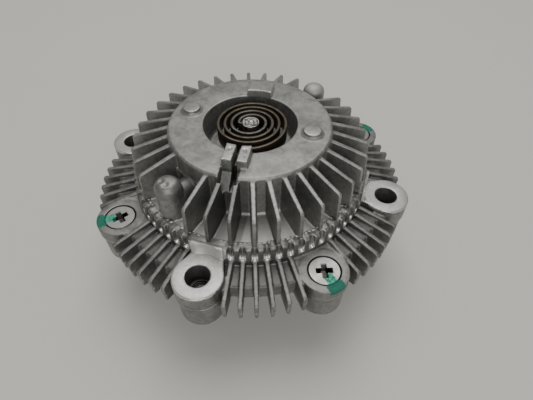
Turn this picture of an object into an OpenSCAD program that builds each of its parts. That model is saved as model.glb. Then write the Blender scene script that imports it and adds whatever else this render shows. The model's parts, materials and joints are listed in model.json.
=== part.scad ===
// Viscous fan clutch with a bimetal-controlled valve.
// The origin is the centre of the drive flange's back face, and +Z points to the finned cover.

/* [Drive flange and shaft] */
// Thickness of the drive flange
flange_t = 6; // [5:0.5:8]
// Radius of the round core of the drive flange
flange_core_r = 37; // [34:0.5:40]
// Diameter of the flange's bolt circle
flange_circle = 68; // [66:0.5:72]
// Diameter of the flange's bolt holes
flange_hole_d = 8.5; // [7.5:0.1:9]
// Radius of the lobe around each flange bolt hole
flange_lobe_r = 9.5; // [8.5:0.1:11]
// Diameter of the pilot bore in the flange's back
pilot_d = 20; // [16:0.5:22]
// Depth of the pilot bore
pilot_depth = 7; // [5:0.5:9]
// Radius of the neck between the flange and the bearing
neck_r = 13; // [12:0.1:14]
// Length of the neck, from the flange to the bearing
neck_h = 8; // [7.5:0.1:10]
// Diameter of the rotor's seat on the shaft
rotor_seat_d = 16; // [15:0.1:16.6]
// Thickness of the snap ring that holds the rotor
clip_t = 1.2; // [1:0.1:1.4]

/* [Bearing] */
// Bore of the bearing
brg_bore = 17; // [17:0.1:17.6]
// Outer diameter of the bearing
brg_od = 40; // [39.4:0.1:40.6]
// Width of the bearing
brg_w = 12; // [11.5:0.1:13]
// Diameter of each ball
ball_d = 6.74; // [6.4:0.02:6.9]
// Number of balls
ball_n = 8; // [7:1:8]
// Thickness of the snap ring that holds the bearing
snap_t = 1.2; // [1:0.1:1.4]

/* [Rotor and labyrinth] */
// Outer radius of the rotor
rotor_r = 50; // [49.4:0.1:50.2]
// Thickness of the rotor's disc
rotor_t = 3; // [2.5:0.1:3.5]
// Height of the labyrinth rings
lab_h = 2.5; // [2:0.1:3]
// Width of each labyrinth ring
lab_w = 1.7; // [1.4:0.1:1.8]
// Number of labyrinth rings on each face of the rotor
lab_n = 4; // [3:1:4]
// Running gap of the labyrinth
lab_gap = 0.5; // [0.4:0.05:0.7]
// Height of the rotor's hub above its disc
rotor_hub_h = 4.55; // [4:0.05:5]
// How far the rotor's web flares out from its hub
web_flare = 5; // [4:0.1:6]
// Height of that flare
web_h = 3; // [2:0.1:3.4]
// Diameter of the fluid passages through the rotor
passage_d = 6; // [5:0.1:6.5]
// How far inside the labyrinth the passages sit
passage_in = 8; // [7:0.1:9]

/* [Housing] */
// Wall of the rear housing around the bearing
hub_wall = 5; // [4:0.1:5.5]
// Diameter of the circle that holds the fan bolts and the cover screws
bolt_circle = 120; // [119:0.5:124]
// Diameter of the fan bolt clearance holes
fan_hole_d = 9; // [8.6:0.1:9.4]
// Diameter of the tapped fan bolt holes in the rear housing
fan_thread_d = 6.8; // [6.4:0.1:7.6]
// Radius of the round end of each boss
boss_r = 9.4; // [9:0.1:10]
// Height of a fan boss above the parting plane
fan_boss_h = 9.3; // [8.6:0.1:10]
// Height of a screw boss above the parting plane
screw_boss_h = 6.6; // [6.2:0.1:7.4]
// Depth of the lower bosses below the parting plane
lower_boss_h = 11.5; // [10:0.5:13]
// Chamfer of the bosses at the parting line
boss_chamfer = 0.8; // [0.3:0.05:1]
// Width of the neck that joins a fan boss to the rim
fan_neck_w = 11.4; // [10:0.1:14]
// How far a screw boss's neck lies below its face
screw_neck_drop = 0.5; // [0.3:0.05:0.7]
// Radius of the shelf between the lower fins
shelf_r = 59.6; // [58.5:0.1:61]
// Thickness of that shelf above the parting plane
shelf_t = 5; // [4.4:0.1:5.6]
// Outer radius of the lower fins
low_fin_r = 67.4; // [65:0.1:68]
// Thickness of each lower fin
low_fin_t = 1.7; // [1.3:0.1:2]
// Height of the front housing's fins at their outer end
low_fin_h = 5; // [4:0.1:6]
// How far the rear housing's fins reach below the parting plane
low_fin_drop = 4; // [3:0.1:5]
// Wall of the staked rim around the cover
rim_t = 2.8; // [2.5:0.1:3.2]
// Bevel that the staking leaves on the rim's outer edge
rim_bevel = 1; // [0.6:0.05:1.2]
// Radius of each staking flute
flute_r = 1.2; // [0.8:0.05:1.3]
// Length of the staking flutes below the cover's flange face
flute_h = 5; // [4:0.1:6]
// Thickness of the front housing under the partition plate
seat_t = 5; // [4.4:0.1:5.6]

/* [Finned cover] */
// Radius of the cover's flange
cover_r = 47.9; // [47.3:0.1:48.2]
// Thickness of the cover's flange
cover_flange_t = 5.3; // [5:0.1:6]
// Radius of the cover's raised cap
cap_r = 33.5; // [33:0.1:34.5]
// Height of the cap above the flange
cap_h = 18.6; // [18:0.1:20]
// Radius of the coil recess
recess_r = 19.2; // [18.7:0.1:20]
// Depth of the coil recess
recess_h = 12; // [11.4:0.1:12.4]
// Thickness of each cap fin at the cap
fin_root_t = 2; // [1.6:0.1:2.4]
// Thickness of each cap fin at its outer end
fin_tip_t = 1.5; // [1.2:0.1:1.6]
// Outer radius of the cap fins at the top
fin_top_r = 48.7; // [47:0.1:48.8]
// Outer radius of the cap fins at the bottom
fin_low_r = 49.5; // [48.9:0.1:50]
// Height of the anchor lugs
lug_h = 3.5; // [2.5:0.1:4.5]
// Width of each anchor lug
lug_w = 3.9; // [3.4:0.1:4.4]
// Width of the coil slot between the lugs
slot_w = 1.85; // [1.7:0.05:2.1]
// Outer radius of the anchor lugs
lug_r = 28; // [27:0.1:29]
// Radius of each dome on the flange
dome_r = 5; // [4.4:0.1:5.4]
// Height of each dome's shoulder above the flange
dome_h = 13.3; // [12:0.1:13.6]
// Height of the crown above the shoulder
dome_crown = 3.4; // [3:0.1:4]
// Width of the web between each dome and the cap
dome_web_w = 5; // [4:0.1:6]
// Height of that web
dome_web_h = 9.6; // [8:0.1:10.4]
// Thickness of the thicker stretch of cap wall behind each dome
dome_ledge_t = 0.7; // [0.5:0.05:1]
// Diameter of the low stubs on the cap
stub_d = 7.2; // [6:0.1:8]
// Height of the low stubs
stub_h = 1.9; // [1.4:0.1:2.4]
// Radius at which the stubs sit
stub_r = 25.8; // [25:0.1:27]
// Height of the collar around each stub's foot
stub_collar_h = 0.5; // [0.3:0.05:0.7]
// Width of the balance pad
pad_w = 10.6; // [9:0.1:12]
// Length of the balance pad
pad_l = 7.6; // [6:0.1:9]
// Height of the balance pad
pad_h = 2.8; // [2:0.1:3.2]

/* [Valve and coil] */
// Thickness of the partition plate
plate_t = 1.2; // [1:0.1:1.5]
// Diameter of the feed hole in the partition plate
feed_d = 5; // [4:0.1:6]
// Radius at which the feed hole sits
feed_r = 22; // [20:0.1:23]
// Thickness of the valve arm
arm_t = 1; // [0.8:0.1:1.2]
// Diameter of the valve shaft
valve_d = 6; // [5.6:0.1:6.4]
// Diameter of the valve shaft's head
valve_head_d = 7.3; // [7:0.1:7.6]
// Thickness of the bimetal strip
strip_t = 1.1; // [0.8:0.05:1.15]
// Width of the bimetal strip
strip_h = 6.5; // [5.5:0.1:6.8]
// Spacing of the coil's turns
coil_pitch = 2.73; // [2.6:0.01:2.78]
// Radius of the coil's first half turn
coil_r = 13.8; // [13.5:0.1:14.2]
// How far the coil's outer end swings out to the slot
coil_swing = 1.8; // [1.6:0.1:2]

/* [Screws and seals] */
// Diameter of the cover screws
screw_d = 6; // [5:0.1:6.4]
// Diameter of the countersunk heads
head_d = 11.8; // [11:0.1:12.2]
// Diameter of the countersink at its mouth
csk_d = 12.9; // [12.5:0.1:13.4]
// Length of each arm of the cross recess, from end to end
recess_l = 6.6; // [6:0.1:7]
// Width of each arm of the cross recess
recess_w = 2; // [1.6:0.1:2.2]
// Thickness of the housing and cover seals
seal_d = 1.7; // [1.5:0.05:1.9]

/* [Clearances] */
// Gap of each pressed or seated pair
press_gap = 0.01; // [0.005:0.005:0.02]
// Radial gap of the valve shaft in its bore
valve_gap = 0.05; // [0.03:0.01:0.08]
// Gap between balls and races
race_gap = 0.06; // [0.04:0.01:0.09]
// Radial gap between the cover and the staked rim
cover_gap = 0.1; // [0.05:0.01:0.15]
// Gap between parts that pass each other
run_gap = 0.4; // [0.35:0.05:0.5]

/* [Hidden] */
$fn = 64;

// Colours
cast_grey = [0.62, 0.63, 0.62];
dark_cast = [0.56, 0.57, 0.57];
bright_steel = [0.74, 0.74, 0.72];
zinc = [0.78, 0.78, 0.76];
rubber_black = [0.1, 0.1, 0.1];
strip_brown = [0.42, 0.36, 0.3];

// Levels, from the flange's back face upwards
z_brg0 = flange_t + neck_h;
z_brg1 = z_brg0 + brg_w;
z_brg = z_brg0 + brg_w / 2;
z_hub0 = z_brg0 - snap_t - 1.8;
z_ch0 = z_brg1 + 4.5;
z_disc0 = z_ch0 + lab_gap + lab_h;
z_disc1 = z_disc0 + rotor_t;
z_ch1 = z_disc1 + lab_h + lab_gap;
z_clip = z_disc1 + rotor_hub_h + 0.1;
z_part = (z_ch0 + z_ch1) / 2 + 1;
z_seat = z_ch1 + seat_t;
z_plate = z_seat + plate_t;
z_floor = z_plate + cover_flange_t;
z_rim = z_floor + 0.8;
z_flute = z_floor - flute_h;
z_top = z_floor + cap_h;
z_rec = z_top - recess_h;
z_cav = z_rec - 3;
z_arm0 = z_plate + 0.5;
z_arm1 = z_arm0 + arm_t;
z_vb0 = z_arm1 + run_gap;
z_vb1 = z_rec + 1.4;
z_shelf = z_part + shelf_t;
z_screw = z_part + screw_boss_h;
z_fan = z_part + fan_boss_h;
z_boss0 = z_part - lower_boss_h;
z_coil1 = z_top - 0.2;
z_coil0 = z_coil1 - strip_h;
z_slot = z_coil0 - 0.5;
z_notch = z_slot - 0.8;
z_dome = z_floor + dome_h;

// Radii
shaft_r = brg_bore / 2;
brg_r = brg_od / 2;
ball_pitch_r = (brg_bore + brg_od) / 4;
ball_r = ball_d / 2;
inner_ring_r = ball_pitch_r - 2.55;
outer_ring_r = ball_pitch_r + 2.55;
seal_seat_r = outer_ring_r + 0.8;
lip_bore_r = brg_r - 2.5;
hub_r = brg_r + hub_wall;
snap_groove_r = brg_r + 1.2;
chamber_r = rotor_r + 0.6;
groove_r = chamber_r + 2.4;
seal_r = seal_d / 2;
lab_pitch = 2 * (lab_w + lab_gap);
lab_low_r = rotor_r - (lab_n - 1) * lab_pitch - lab_w;
front_in_r = lab_low_r - 4.1;
rim_in_r = cover_r + cover_gap;
rim_r = rim_in_r + rim_t;
lip_r = cover_r - 0.7;
bolt_r = bolt_circle / 2;
fan_hole_r = fan_hole_d / 2;
screw_r = screw_d / 2;
head_r = head_d / 2;
csk_r = csk_d / 2;
cav_r = min(cap_r - 3.3, feed_r + 8.2);
pocket_r = recess_r + 3.4;
valve_boss_r = valve_d / 2 + 4;
valve_r = valve_d / 2;
valve_head_r = valve_head_d / 2;
stem_r = valve_r - 1;

// Angles
fan_angles = [0, 90, 180, 270];
screw_angles = [45, 135, 225, 315];
dome_angles = [-115, 65];
stub_angles = [0, 180];
cross_angles = [30, 75, 9, 65];
lug_a = -83.4;
coil_a = 19.6;
feed_a = 140;

function turn(a, b) = abs((a - b + 900) % 360 - 180);
function nearest(a, list) = min([for (b = list) turn(a, b)]);

cap_fin_angles = [for (a = [0 : 10 : 350]) if (nearest(a, dome_angles) > 7) a];
low_fin_angles = [for (s = [0 : 45 : 315]) for (k = [10 : 5 : 35]) s + k];
flute_angles = [for (a = [0 : 5 : 355]) if (nearest(a, fan_angles) > 7) a];

// A flat ring
module ring(r_in, r_out, z0, z1) {
    translate([0, 0, z0])
        linear_extrude(z1 - z0)
            difference() {
                circle(r_out);
                circle(r_in);
            }
}

// A seal of round section
module o_ring(r_mid, r_section, z) {
    translate([0, 0, z])
        rotate_extrude()
            translate([r_mid, 0])
                circle(r_section);
}

// Upright plates on the given angles, tapering from the root to the tip
module plates(angles, r0, r1, t0, t1, z0, z1) {
    for (a = angles)
        rotate([0, 0, a])
            translate([0, 0, z0])
                linear_extrude(z1 - z0)
                    polygon([[r0, -t0 / 2], [r1, -t1 / 2], [r1, t1 / 2], [r0, t0 / 2]]);
}

// Outline of a boss that runs inwards to the housing
module boss_shape(r, r_inner) {
    translate([bolt_r, 0])
        circle(r);
    translate([r_inner, -r + 0.3])
        square([bolt_r - r_inner, 2 * r - 0.6]);
}

// Bosses on the given angles
module bosses(angles, r, r_inner, z0, z1) {
    for (a = angles)
        rotate([0, 0, a])
            translate([0, 0, z0])
                linear_extrude(z1 - z0)
                    boss_shape(r, r_inner);
}

// Round holes on the bolt circle
module bolt_holes(angles, r, z0, z1) {
    for (a = angles)
        rotate([0, 0, a])
            translate([bolt_r, 0, z0])
                cylinder(r = r, h = z1 - z0);
}

// Labyrinth rings, counted inwards from the radius r_out
module labyrinth(r_out, count, z0, z1) {
    for (i = [0 : count - 1])
        ring(r_out - i * lab_pitch - lab_w, r_out - i * lab_pitch, z0, z1);
}

// Drive body

module drive_shaft() {
    z_end = z_clip + clip_t + 1.05;
    color(bright_steel)
    difference() {
        union() {
            linear_extrude(flange_t) {
                circle(flange_core_r);
                for (a = screw_angles)
                    rotate(a)
                        translate([flange_circle / 2, 0])
                            circle(flange_lobe_r);
            }
            rotate_extrude()
                polygon([
                    [0, flange_t / 2], [neck_r + 3, flange_t / 2], [neck_r + 3, flange_t],
                    [neck_r, flange_t + 3], [neck_r, z_brg0 - 2], [inner_ring_r - 0.5, z_brg0 - 1],
                    [inner_ring_r - 0.5, z_brg0], [shaft_r, z_brg0], [shaft_r, z_brg1 - 0.5],
                    [rotor_seat_d / 2, z_brg1], [rotor_seat_d / 2, z_end - 1],
                    [rotor_seat_d / 2 - 1, z_end], [0, z_end]
                ]);
        }
        // Pilot bore
        translate([0, 0, -1])
            cylinder(d = pilot_d, h = pilot_depth + 1);
        for (a = screw_angles)
            rotate([0, 0, a])
                translate([flange_circle / 2, 0, -1])
                    cylinder(d = flange_hole_d, h = flange_t + 2);
        // Groove for the rotor's snap ring
        ring(rotor_seat_d / 2 - 0.8, rotor_seat_d, z_clip - 0.05, z_clip + clip_t + 0.05);
    }
}

module bearing_inner_ring() {
    color(zinc)
    difference() {
        ring(shaft_r + press_gap, inner_ring_r, z_brg0 + press_gap, z_brg1);
        o_ring(ball_pitch_r, ball_r + race_gap, z_brg);
    }
}

module bearing_outer_ring() {
    color(zinc)
    difference() {
        ring(outer_ring_r, brg_r - press_gap, z_brg0, z_brg1 - press_gap);
        o_ring(ball_pitch_r, ball_r + race_gap, z_brg);
        ring(outer_ring_r - 1, seal_seat_r, z_brg0 - 1, z_brg0 + 1.3);
        ring(outer_ring_r - 1, seal_seat_r, z_brg1 - 1.3, z_brg1 + 1);
    }
}

module bearing_balls() {
    color(bright_steel)
    for (i = [0 : ball_n - 1])
        rotate([0, 0, i * 360 / ball_n])
            translate([ball_pitch_r, 0, z_brg])
                sphere(ball_r);
}

module bearing_cage() {
    half = ball_r + 0.9;
    color([0.7, 0.62, 0.45])
    difference() {
        ring(ball_pitch_r - 0.9, ball_pitch_r + 0.9, z_brg - half, z_brg + half);
        for (i = [0 : ball_n - 1])
            rotate([0, 0, i * 360 / ball_n])
                translate([ball_pitch_r, 0, z_brg])
                    sphere(ball_r + 0.15);
    }
}

// Lip seal of the bearing, held by the outer ring
module bearing_seal(z0) {
    ring(inner_ring_r + run_gap, seal_seat_r - 0.05, z0, z0 + 0.8);
}

module bearing_front_seal() {
    color(rubber_black)
        bearing_seal(z_brg1 - 1.2);
}

module bearing_rear_seal() {
    color(rubber_black)
        bearing_seal(z_brg0 + 0.4);
}

module bearing_snap_ring() {
    ear_r = brg_r - 2.6;
    color(bright_steel)
    translate([0, 0, z_brg0 - 0.05 - snap_t])
        linear_extrude(snap_t)
            difference() {
                union() {
                    difference() {
                        circle(snap_groove_r - 0.2);
                        circle(brg_r - 1.8);
                        polygon([[0, 0], [1.6 * brg_r, -7], [1.6 * brg_r, 7]]);
                    }
                    for (s = [-1, 1])
                        rotate(s * 18)
                            translate([ear_r, 0])
                                circle(1.9);
                }
                for (s = [-1, 1])
                    rotate(s * 18)
                        translate([ear_r, 0])
                            circle(0.8);
            }
}

module rotor() {
    hub_w = inner_ring_r - 0.4;
    color(cast_grey)
    union() {
        difference() {
            rotate_extrude()
                polygon([
                    [rotor_seat_d / 2 + press_gap, z_brg1 + press_gap], [hub_w, z_brg1 + press_gap],
                    [hub_w, z_disc0 - web_h], [hub_w + web_flare, z_disc0], [rotor_r, z_disc0],
                    [rotor_r, z_disc1], [hub_w + web_flare, z_disc1], [hub_w, z_disc1 + web_h],
                    [hub_w, z_disc1 + rotor_hub_h], [rotor_seat_d / 2 + press_gap, z_disc1 + rotor_hub_h]
                ]);
            // Passages that let the fluid reach both faces
            for (i = [0 : 5])
                rotate([0, 0, i * 60])
                    translate([lab_low_r - passage_in, 0, z_disc0 - 1])
                        cylinder(d = passage_d, h = rotor_t + 2);
        }
        labyrinth(rotor_r, lab_n, z_disc0 - lab_h, z_disc0 + 0.5);
        labyrinth(rotor_r, lab_n, z_disc1 - 0.5, z_disc1 + lab_h);
    }
}

module rotor_snap_ring() {
    color(bright_steel)
    translate([0, 0, z_clip])
        linear_extrude(clip_t)
            difference() {
                circle(rotor_seat_d / 2 + 2.4);
                circle(rotor_seat_d / 2 - 0.7);
                polygon([[0, 0], [rotor_seat_d, -2.6], [rotor_seat_d, 2.6]]);
            }
}

// Housing body

module rear_housing() {
    back_z = z_ch0 - 4;
    color(dark_cast)
    union() {
        difference() {
            union() {
                rotate_extrude()
                    polygon([
                        [0, z_hub0], [hub_r - 1, z_hub0], [hub_r, z_hub0 + 1], [hub_r, back_z - 6],
                        [hub_r + 6, back_z - 1], [shelf_r - 7, z_part - 7.5], [shelf_r - 0.6, z_part - 3],
                        [shelf_r - 0.6, z_part + 1], [0, z_part + 1]
                    ]);
                bosses(fan_angles, boss_r - 0.6, chamber_r - 4, z_boss0, z_part + 2);
                bosses(screw_angles, boss_r - 0.6, chamber_r - 4, z_boss0, z_part + 2);
                rear_fins();
            }
            // The parting face is cut in one plane
            translate([0, 0, z_part])
                cylinder(r = low_fin_r + boss_r, h = 4);
            rotate_extrude()
                polygon([
                    [0, z_hub0 - 1], [brg_r, z_hub0 - 1], [brg_r, z_brg0 - snap_t - 0.15],
                    [snap_groove_r, z_brg0 - snap_t - 0.15], [snap_groove_r, z_brg0 + 0.05],
                    [brg_r, z_brg0 + 0.05], [brg_r, z_brg1], [lip_bore_r, z_brg1], [lip_bore_r, z_ch0],
                    [chamber_r, z_ch0], [chamber_r, z_part + 5], [0, z_part + 5]
                ]);
            bolt_holes(fan_angles, fan_thread_d / 2, z_boss0 - 1, z_part + 1);
            bolt_holes(screw_angles, screw_r + 0.03, z_boss0 - 1, z_part + 1);
            ring(groove_r - 1.1, groove_r + 1.1, z_part - seal_d - 0.05, z_part + 1);
        }
        labyrinth(rotor_r - lab_w - lab_gap, lab_n - 1, z_ch0 - 0.5, z_disc0 - lab_gap);
    }
}

// Fins under the parting plane, thinner towards their lower edge
module rear_fins() {
    z_low = z_part - 10;
    intersection() {
        for (a = low_fin_angles)
            rotate([0, 0, a])
                rotate([90, 0, 90])
                    translate([0, 0, shelf_r - 14])
                        linear_extrude(low_fin_r + 15 - shelf_r)
                            polygon([
                                [-low_fin_t / 2, z_part + 3], [-low_fin_t / 2, z_part],
                                [-low_fin_t / 5, z_low], [low_fin_t / 5, z_low],
                                [low_fin_t / 2, z_part], [low_fin_t / 2, z_part + 3]
                            ]);
        rotate_extrude()
            polygon([
                [shelf_r - 13, z_part + 1.5], [shelf_r - 13, z_part - 9.5],
                [low_fin_r - 0.4, z_part - low_fin_drop], [low_fin_r - 0.2, z_part],
                [low_fin_r - 0.2, z_part + 1.5]
            ]);
    }
}

module front_housing() {
    color(cast_grey)
    union() {
        difference() {
            union() {
                rotate_extrude()
                    polygon([
                        [0, z_part], [shelf_r, z_part], [shelf_r, z_shelf - 0.4],
                        [shelf_r - 0.4, z_shelf], [rim_r, z_shelf + 0.6], [rim_r, z_rim - rim_bevel],
                        [rim_r - rim_bevel, z_rim], [0, z_rim]
                    ]);
                // The spot faces bring the necks of the fan bosses down to z_fan
                front_bosses(fan_angles, fan_neck_w, z_fan, z_fan + 0.3);
                front_bosses(screw_angles, 2 * boss_r - 0.6, z_screw, z_screw - screw_neck_drop);
                rim_pads();
                front_fins();
            }
            rotate_extrude()
                polygon([
                    [0, z_part - 1], [chamber_r, z_part - 1], [chamber_r, z_ch1], [front_in_r, z_ch1],
                    [front_in_r, z_seat], [rim_in_r, z_seat], [rim_in_r, z_floor + press_gap],
                    [lip_r, z_floor + press_gap], [lip_r, z_rim + 1], [0, z_rim + 1]
                ]);
            // Spot faces of the fan bosses
            bolt_holes(fan_angles, boss_r + 0.2, z_fan, z_rim + 1);
            bolt_holes(fan_angles, fan_hole_r, z_part - 1, z_fan + 1);
            bolt_holes(screw_angles, screw_r + 0.2, z_part - 1, z_screw + 1);
            // Countersinks
            for (a = screw_angles)
                rotate([0, 0, a])
                    translate([bolt_r, 0, z_screw - csk_r])
                        cylinder(r1 = 0, r2 = csk_r + 1, h = csk_r + 1);
            // Staking flutes, with the round-nosed end of the punch
            for (a = flute_angles)
                rotate([0, 0, a])
                    translate([rim_r - 0.2, 0, z_flute])
                        rotate_extrude()
                            polygon([
                                [0, -flute_r], [0.6 * flute_r, -0.8 * flute_r], [flute_r, 0],
                                [flute_r, z_rim + 1 - z_flute], [0, z_rim + 1 - z_flute]
                            ]);
        }
        labyrinth(rotor_r - lab_w - lab_gap, lab_n - 1, z_disc1 + lab_gap, z_ch1 + 0.5);
    }
}

// Bosses above the parting plane: a round end with a chamfered foot, and a neck that runs to the rim
module front_bosses(angles, neck, z_face, z_neck) {
    z_foot = z_part + boss_chamfer;
    for (a = angles)
        rotate([0, 0, a]) {
            translate([bolt_r, 0, z_part])
                rotate_extrude()
                    polygon([
                        [0, 0], [boss_r - boss_chamfer, 0], [boss_r, boss_chamfer],
                        [boss_r, z_face - z_part], [0, z_face - z_part]
                    ]);
            translate([lip_r - 1, -neck / 2, z_foot])
                cube([bolt_r - lip_r + 1, neck, z_neck - z_foot]);
        }
}

// Plain stretches of rim behind the fan bosses
module rim_pads() {
    for (a = fan_angles)
        rotate([0, 0, a])
            translate([rim_in_r, -6.4, z_shelf])
                cube([rim_t + 0.5, 12.8, z_rim - 0.5 - z_shelf]);
}

// Fins around the outside of the front housing
module front_fins() {
    intersection() {
        plates(low_fin_angles, rim_in_r + 0.5, low_fin_r + 1, low_fin_t, low_fin_t, z_part, z_rim);
        rotate_extrude()
            polygon([
                [rim_in_r + 0.7, z_part], [low_fin_r - 0.1, z_part], [low_fin_r, z_part + low_fin_h - 0.5],
                [low_fin_r - 0.5, z_part + low_fin_h], [rim_r + 1.4, z_shelf + 3],
                [rim_in_r + 0.7, z_shelf + 3]
            ]);
    }
}

module front_cover() {
    color(cast_grey)
    difference() {
        union() {
            rotate_extrude()
                polygon([
                    [0, z_plate], [cover_r, z_plate], [cover_r, z_floor], [cap_r + 1, z_floor],
                    [cap_r, z_floor + 1], [cap_r, z_top - 0.6], [cap_r - 0.6, z_top], [0, z_top]
                ]);
            cap_fins();
            domes();
            // Low stubs
            for (a = stub_angles)
                rotate([0, 0, a])
                    translate([stub_r, 0, z_top - 0.5]) {
                        cylinder(d = stub_d, h = stub_h + 0.5);
                        cylinder(d = stub_d + 1.4, h = stub_collar_h + 0.5);
                    }
            // Balance pad, opposite the lugs
            rotate([0, 0, lug_a + 180])
                translate([recess_r - 4, -pad_w / 2, z_top - 0.5])
                    cube([pad_l + 4, pad_w, pad_h + 0.5]);
            // Anchor lugs
            rotate([0, 0, lug_a])
                translate([recess_r - 4, -lug_w - slot_w / 2, z_top - 0.5])
                    cube([lug_r - recess_r + 4, 2 * lug_w + slot_w, lug_h + 0.5]);
        }
        // Coil recess, with the valve's boss on its floor
        rotate_extrude()
            polygon([
                [0, z_vb1], [valve_boss_r, z_vb1], [valve_boss_r + 0.5, z_rec], [recess_r - 1.7, z_rec],
                [recess_r - 0.6, z_rec + 1], [recess_r, z_rec + 4], [recess_r, z_top + lug_h + 2],
                [0, z_top + lug_h + 2]
            ]);
        // Fluid reservoir
        rotate_extrude()
            polygon([
                [0, z_plate - 1], [cav_r, z_plate - 1], [cav_r, z_notch - 2], [pocket_r, z_notch - 2],
                [pocket_r, z_cav], [valve_boss_r, z_cav], [valve_boss_r, z_vb0], [0, z_vb0]
            ]);
        translate([0, 0, z_vb0 - 1])
            cylinder(r = valve_r + valve_gap, h = z_vb1 - z_vb0 + 2);
        // Slot for the coil's outer end, and the notch in front of it
        rotate([0, 0, lug_a]) {
            translate([recess_r - 2, -slot_w / 2, z_slot])
                cube([cap_r - recess_r + 3, slot_w, z_top + lug_h + 1 - z_slot]);
            translate([0, slot_w / 2 + 1.4, 0])
                rotate([90, 0, 0])
                    linear_extrude(lug_w + slot_w + 1.4)
                        polygon([
                            [lug_r, z_top + 1], [lug_r, z_top - 2.5], [cap_r + 1.2, z_notch],
                            [cap_r + 1.2, z_top + 1]
                        ]);
        }
        // Seal groove in the flange's edge
        ring(cover_r - seal_d - 0.1, cover_r + 1, z_plate + 1.5, z_plate + 1.7 + seal_d);
    }
}

// Tall fins around the cap
module cap_fins() {
    intersection() {
        plates(cap_fin_angles, cap_r - 1.5, fin_low_r + 1, fin_root_t, fin_tip_t, z_floor - 0.6, z_top);
        rotate_extrude()
            polygon([
                [cap_r - 1, z_floor - 0.5], [lip_r - 0.2, z_floor - 0.5], [lip_r - 0.2, z_rim + 0.2],
                [fin_low_r, z_rim + 0.2], [fin_top_r, z_top - 5.8], [fin_top_r - 0.5, z_top - 5.2],
                [cap_r - 1, z_top - 1]
            ]);
    }
}

// Domed posts on the flange, each joined by a web to a thicker stretch of the cap's wall
module domes() {
    r_mid = (cap_r + cover_r) / 2 + 2.6;
    dent_r = 0.92 * dome_r;
    for (a = dome_angles)
        rotate([0, 0, a]) {
            difference() {
                union() {
                    translate([r_mid, 0, 0])
                        rotate_extrude()
                            polygon(concat(
                                [[0, z_floor - 0.5], [dome_r, z_floor - 0.5]],
                                [for (t = [0 : 15 : 75]) [dome_r * cos(t), z_dome + dome_crown * sin(t)]],
                                [[0, z_dome + dome_crown]]));
                    translate([cap_r - 1, -dome_web_w / 2, z_floor - 0.5])
                        cube([r_mid - cap_r + 1, dome_web_w, dome_web_h + 0.5]);
                }
                // Room for the staked lip under the post
                rotate([0, 0, -a])
                    ring(lip_r - 0.2, rim_r + 2, z_floor - 1, z_rim + 0.2);
                // Sink mark in the top of the first post
                if (a == dome_angles[0])
                    translate([r_mid + 1.4, 0, z_dome + dome_crown + dent_r - 1])
                        sphere(dent_r);
            }
            rotate([0, 0, -14])
                rotate_extrude(angle = 28)
                    translate([cap_r - 1, z_floor - 0.5])
                        square([dome_ledge_t + 1, dome_web_h + 1.7]);
        }
}

module housing_o_ring() {
    color(rubber_black)
        o_ring(groove_r, seal_r - 0.01, z_part - seal_r);
}

module cover_o_ring() {
    color(rubber_black)
        o_ring(rim_in_r - seal_r - 0.02, seal_r - 0.01, z_plate + 1.6 + seal_r);
}

module partition_plate() {
    color(zinc)
    difference() {
        ring(0.8, cover_r - 0.4, z_seat, z_plate);
        rotate([0, 0, feed_a])
            translate([feed_r, 0, z_seat - 1])
                cylinder(d = feed_d, h = plate_t + 2);
        rotate([0, 0, feed_a + 150])
            translate([feed_r + 4.5, 0, z_seat - 1])
                cylinder(d = 2.4, h = plate_t + 2);
    }
}

module cover_screws() {
    z_cone = z_screw - (csk_r - 0.02 - head_r);
    color(zinc)
    for (i = [0 : len(screw_angles) - 1])
        rotate([0, 0, screw_angles[i]])
            translate([bolt_r, 0, 0])
                difference() {
                    rotate_extrude()
                        polygon([
                            [0, z_boss0 + 1], [screw_r - 0.6, z_boss0 + 1], [screw_r, z_boss0 + 1.6],
                            [screw_r, z_cone - head_r + screw_r], [head_r, z_cone],
                            [head_r, z_cone + 0.3], [0, z_cone + 0.3]
                        ]);
                    // Cross recess
                    for (t = [0, 90])
                        rotate([0, 0, cross_angles[i] + t])
                            translate([-recess_l / 2, -recess_w / 2, z_cone - 2.1])
                                cube([recess_l, recess_w, 3]);
                }
}

module bimetal_coil() {
    half = strip_t / 2;
    shift = coil_pitch / 4;
    tail = coil_swing;
    tail_r = coil_r + shift + tail;
    beta = lug_a - coil_a;
    reach = -tail * cos(beta) + sqrt(tail_r * tail_r - tail * tail * sin(beta) * sin(beta));
    tail_end = atan2(reach * sin(beta), reach * cos(beta) + tail);
    r_last = coil_r - 3 * coil_pitch;
    color(strip_brown)
    translate([0, 0, z_coil0])
        rotate([0, 0, coil_a]) {
            // Half turns about two centres, each smaller by half the pitch
            for (k = [0 : 6])
                translate([k % 2 == 0 ? shift : -shift, 0, 0])
                    rotate([0, 0, k % 2 == 0 ? 0 : 180])
                        coil_arc(coil_r - k * coil_pitch / 2, 180, strip_h);
            // Outer end, which swings out to the slot
            translate([-tail, 0, 0])
                mirror([0, 1, 0])
                    coil_arc(tail_r, -tail_end, strip_h);
            rotate([0, 0, beta])
                translate([reach - half, -half, 0])
                    cube([lug_r - 1.5 - reach, strip_t, strip_h]);
            // Inner end, in the slot of the valve shaft
            translate([shift - r_last - half, -half, strip_h - 4.5])
                cube([r_last - shift + half - 0.6, strip_t, 4.5]);
        }
}

// One arc of strip
module coil_arc(r, angle, h) {
    rotate_extrude(angle = angle)
        translate([r - strip_t / 2, 0])
            square([strip_t, h]);
}

// Valve body

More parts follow.
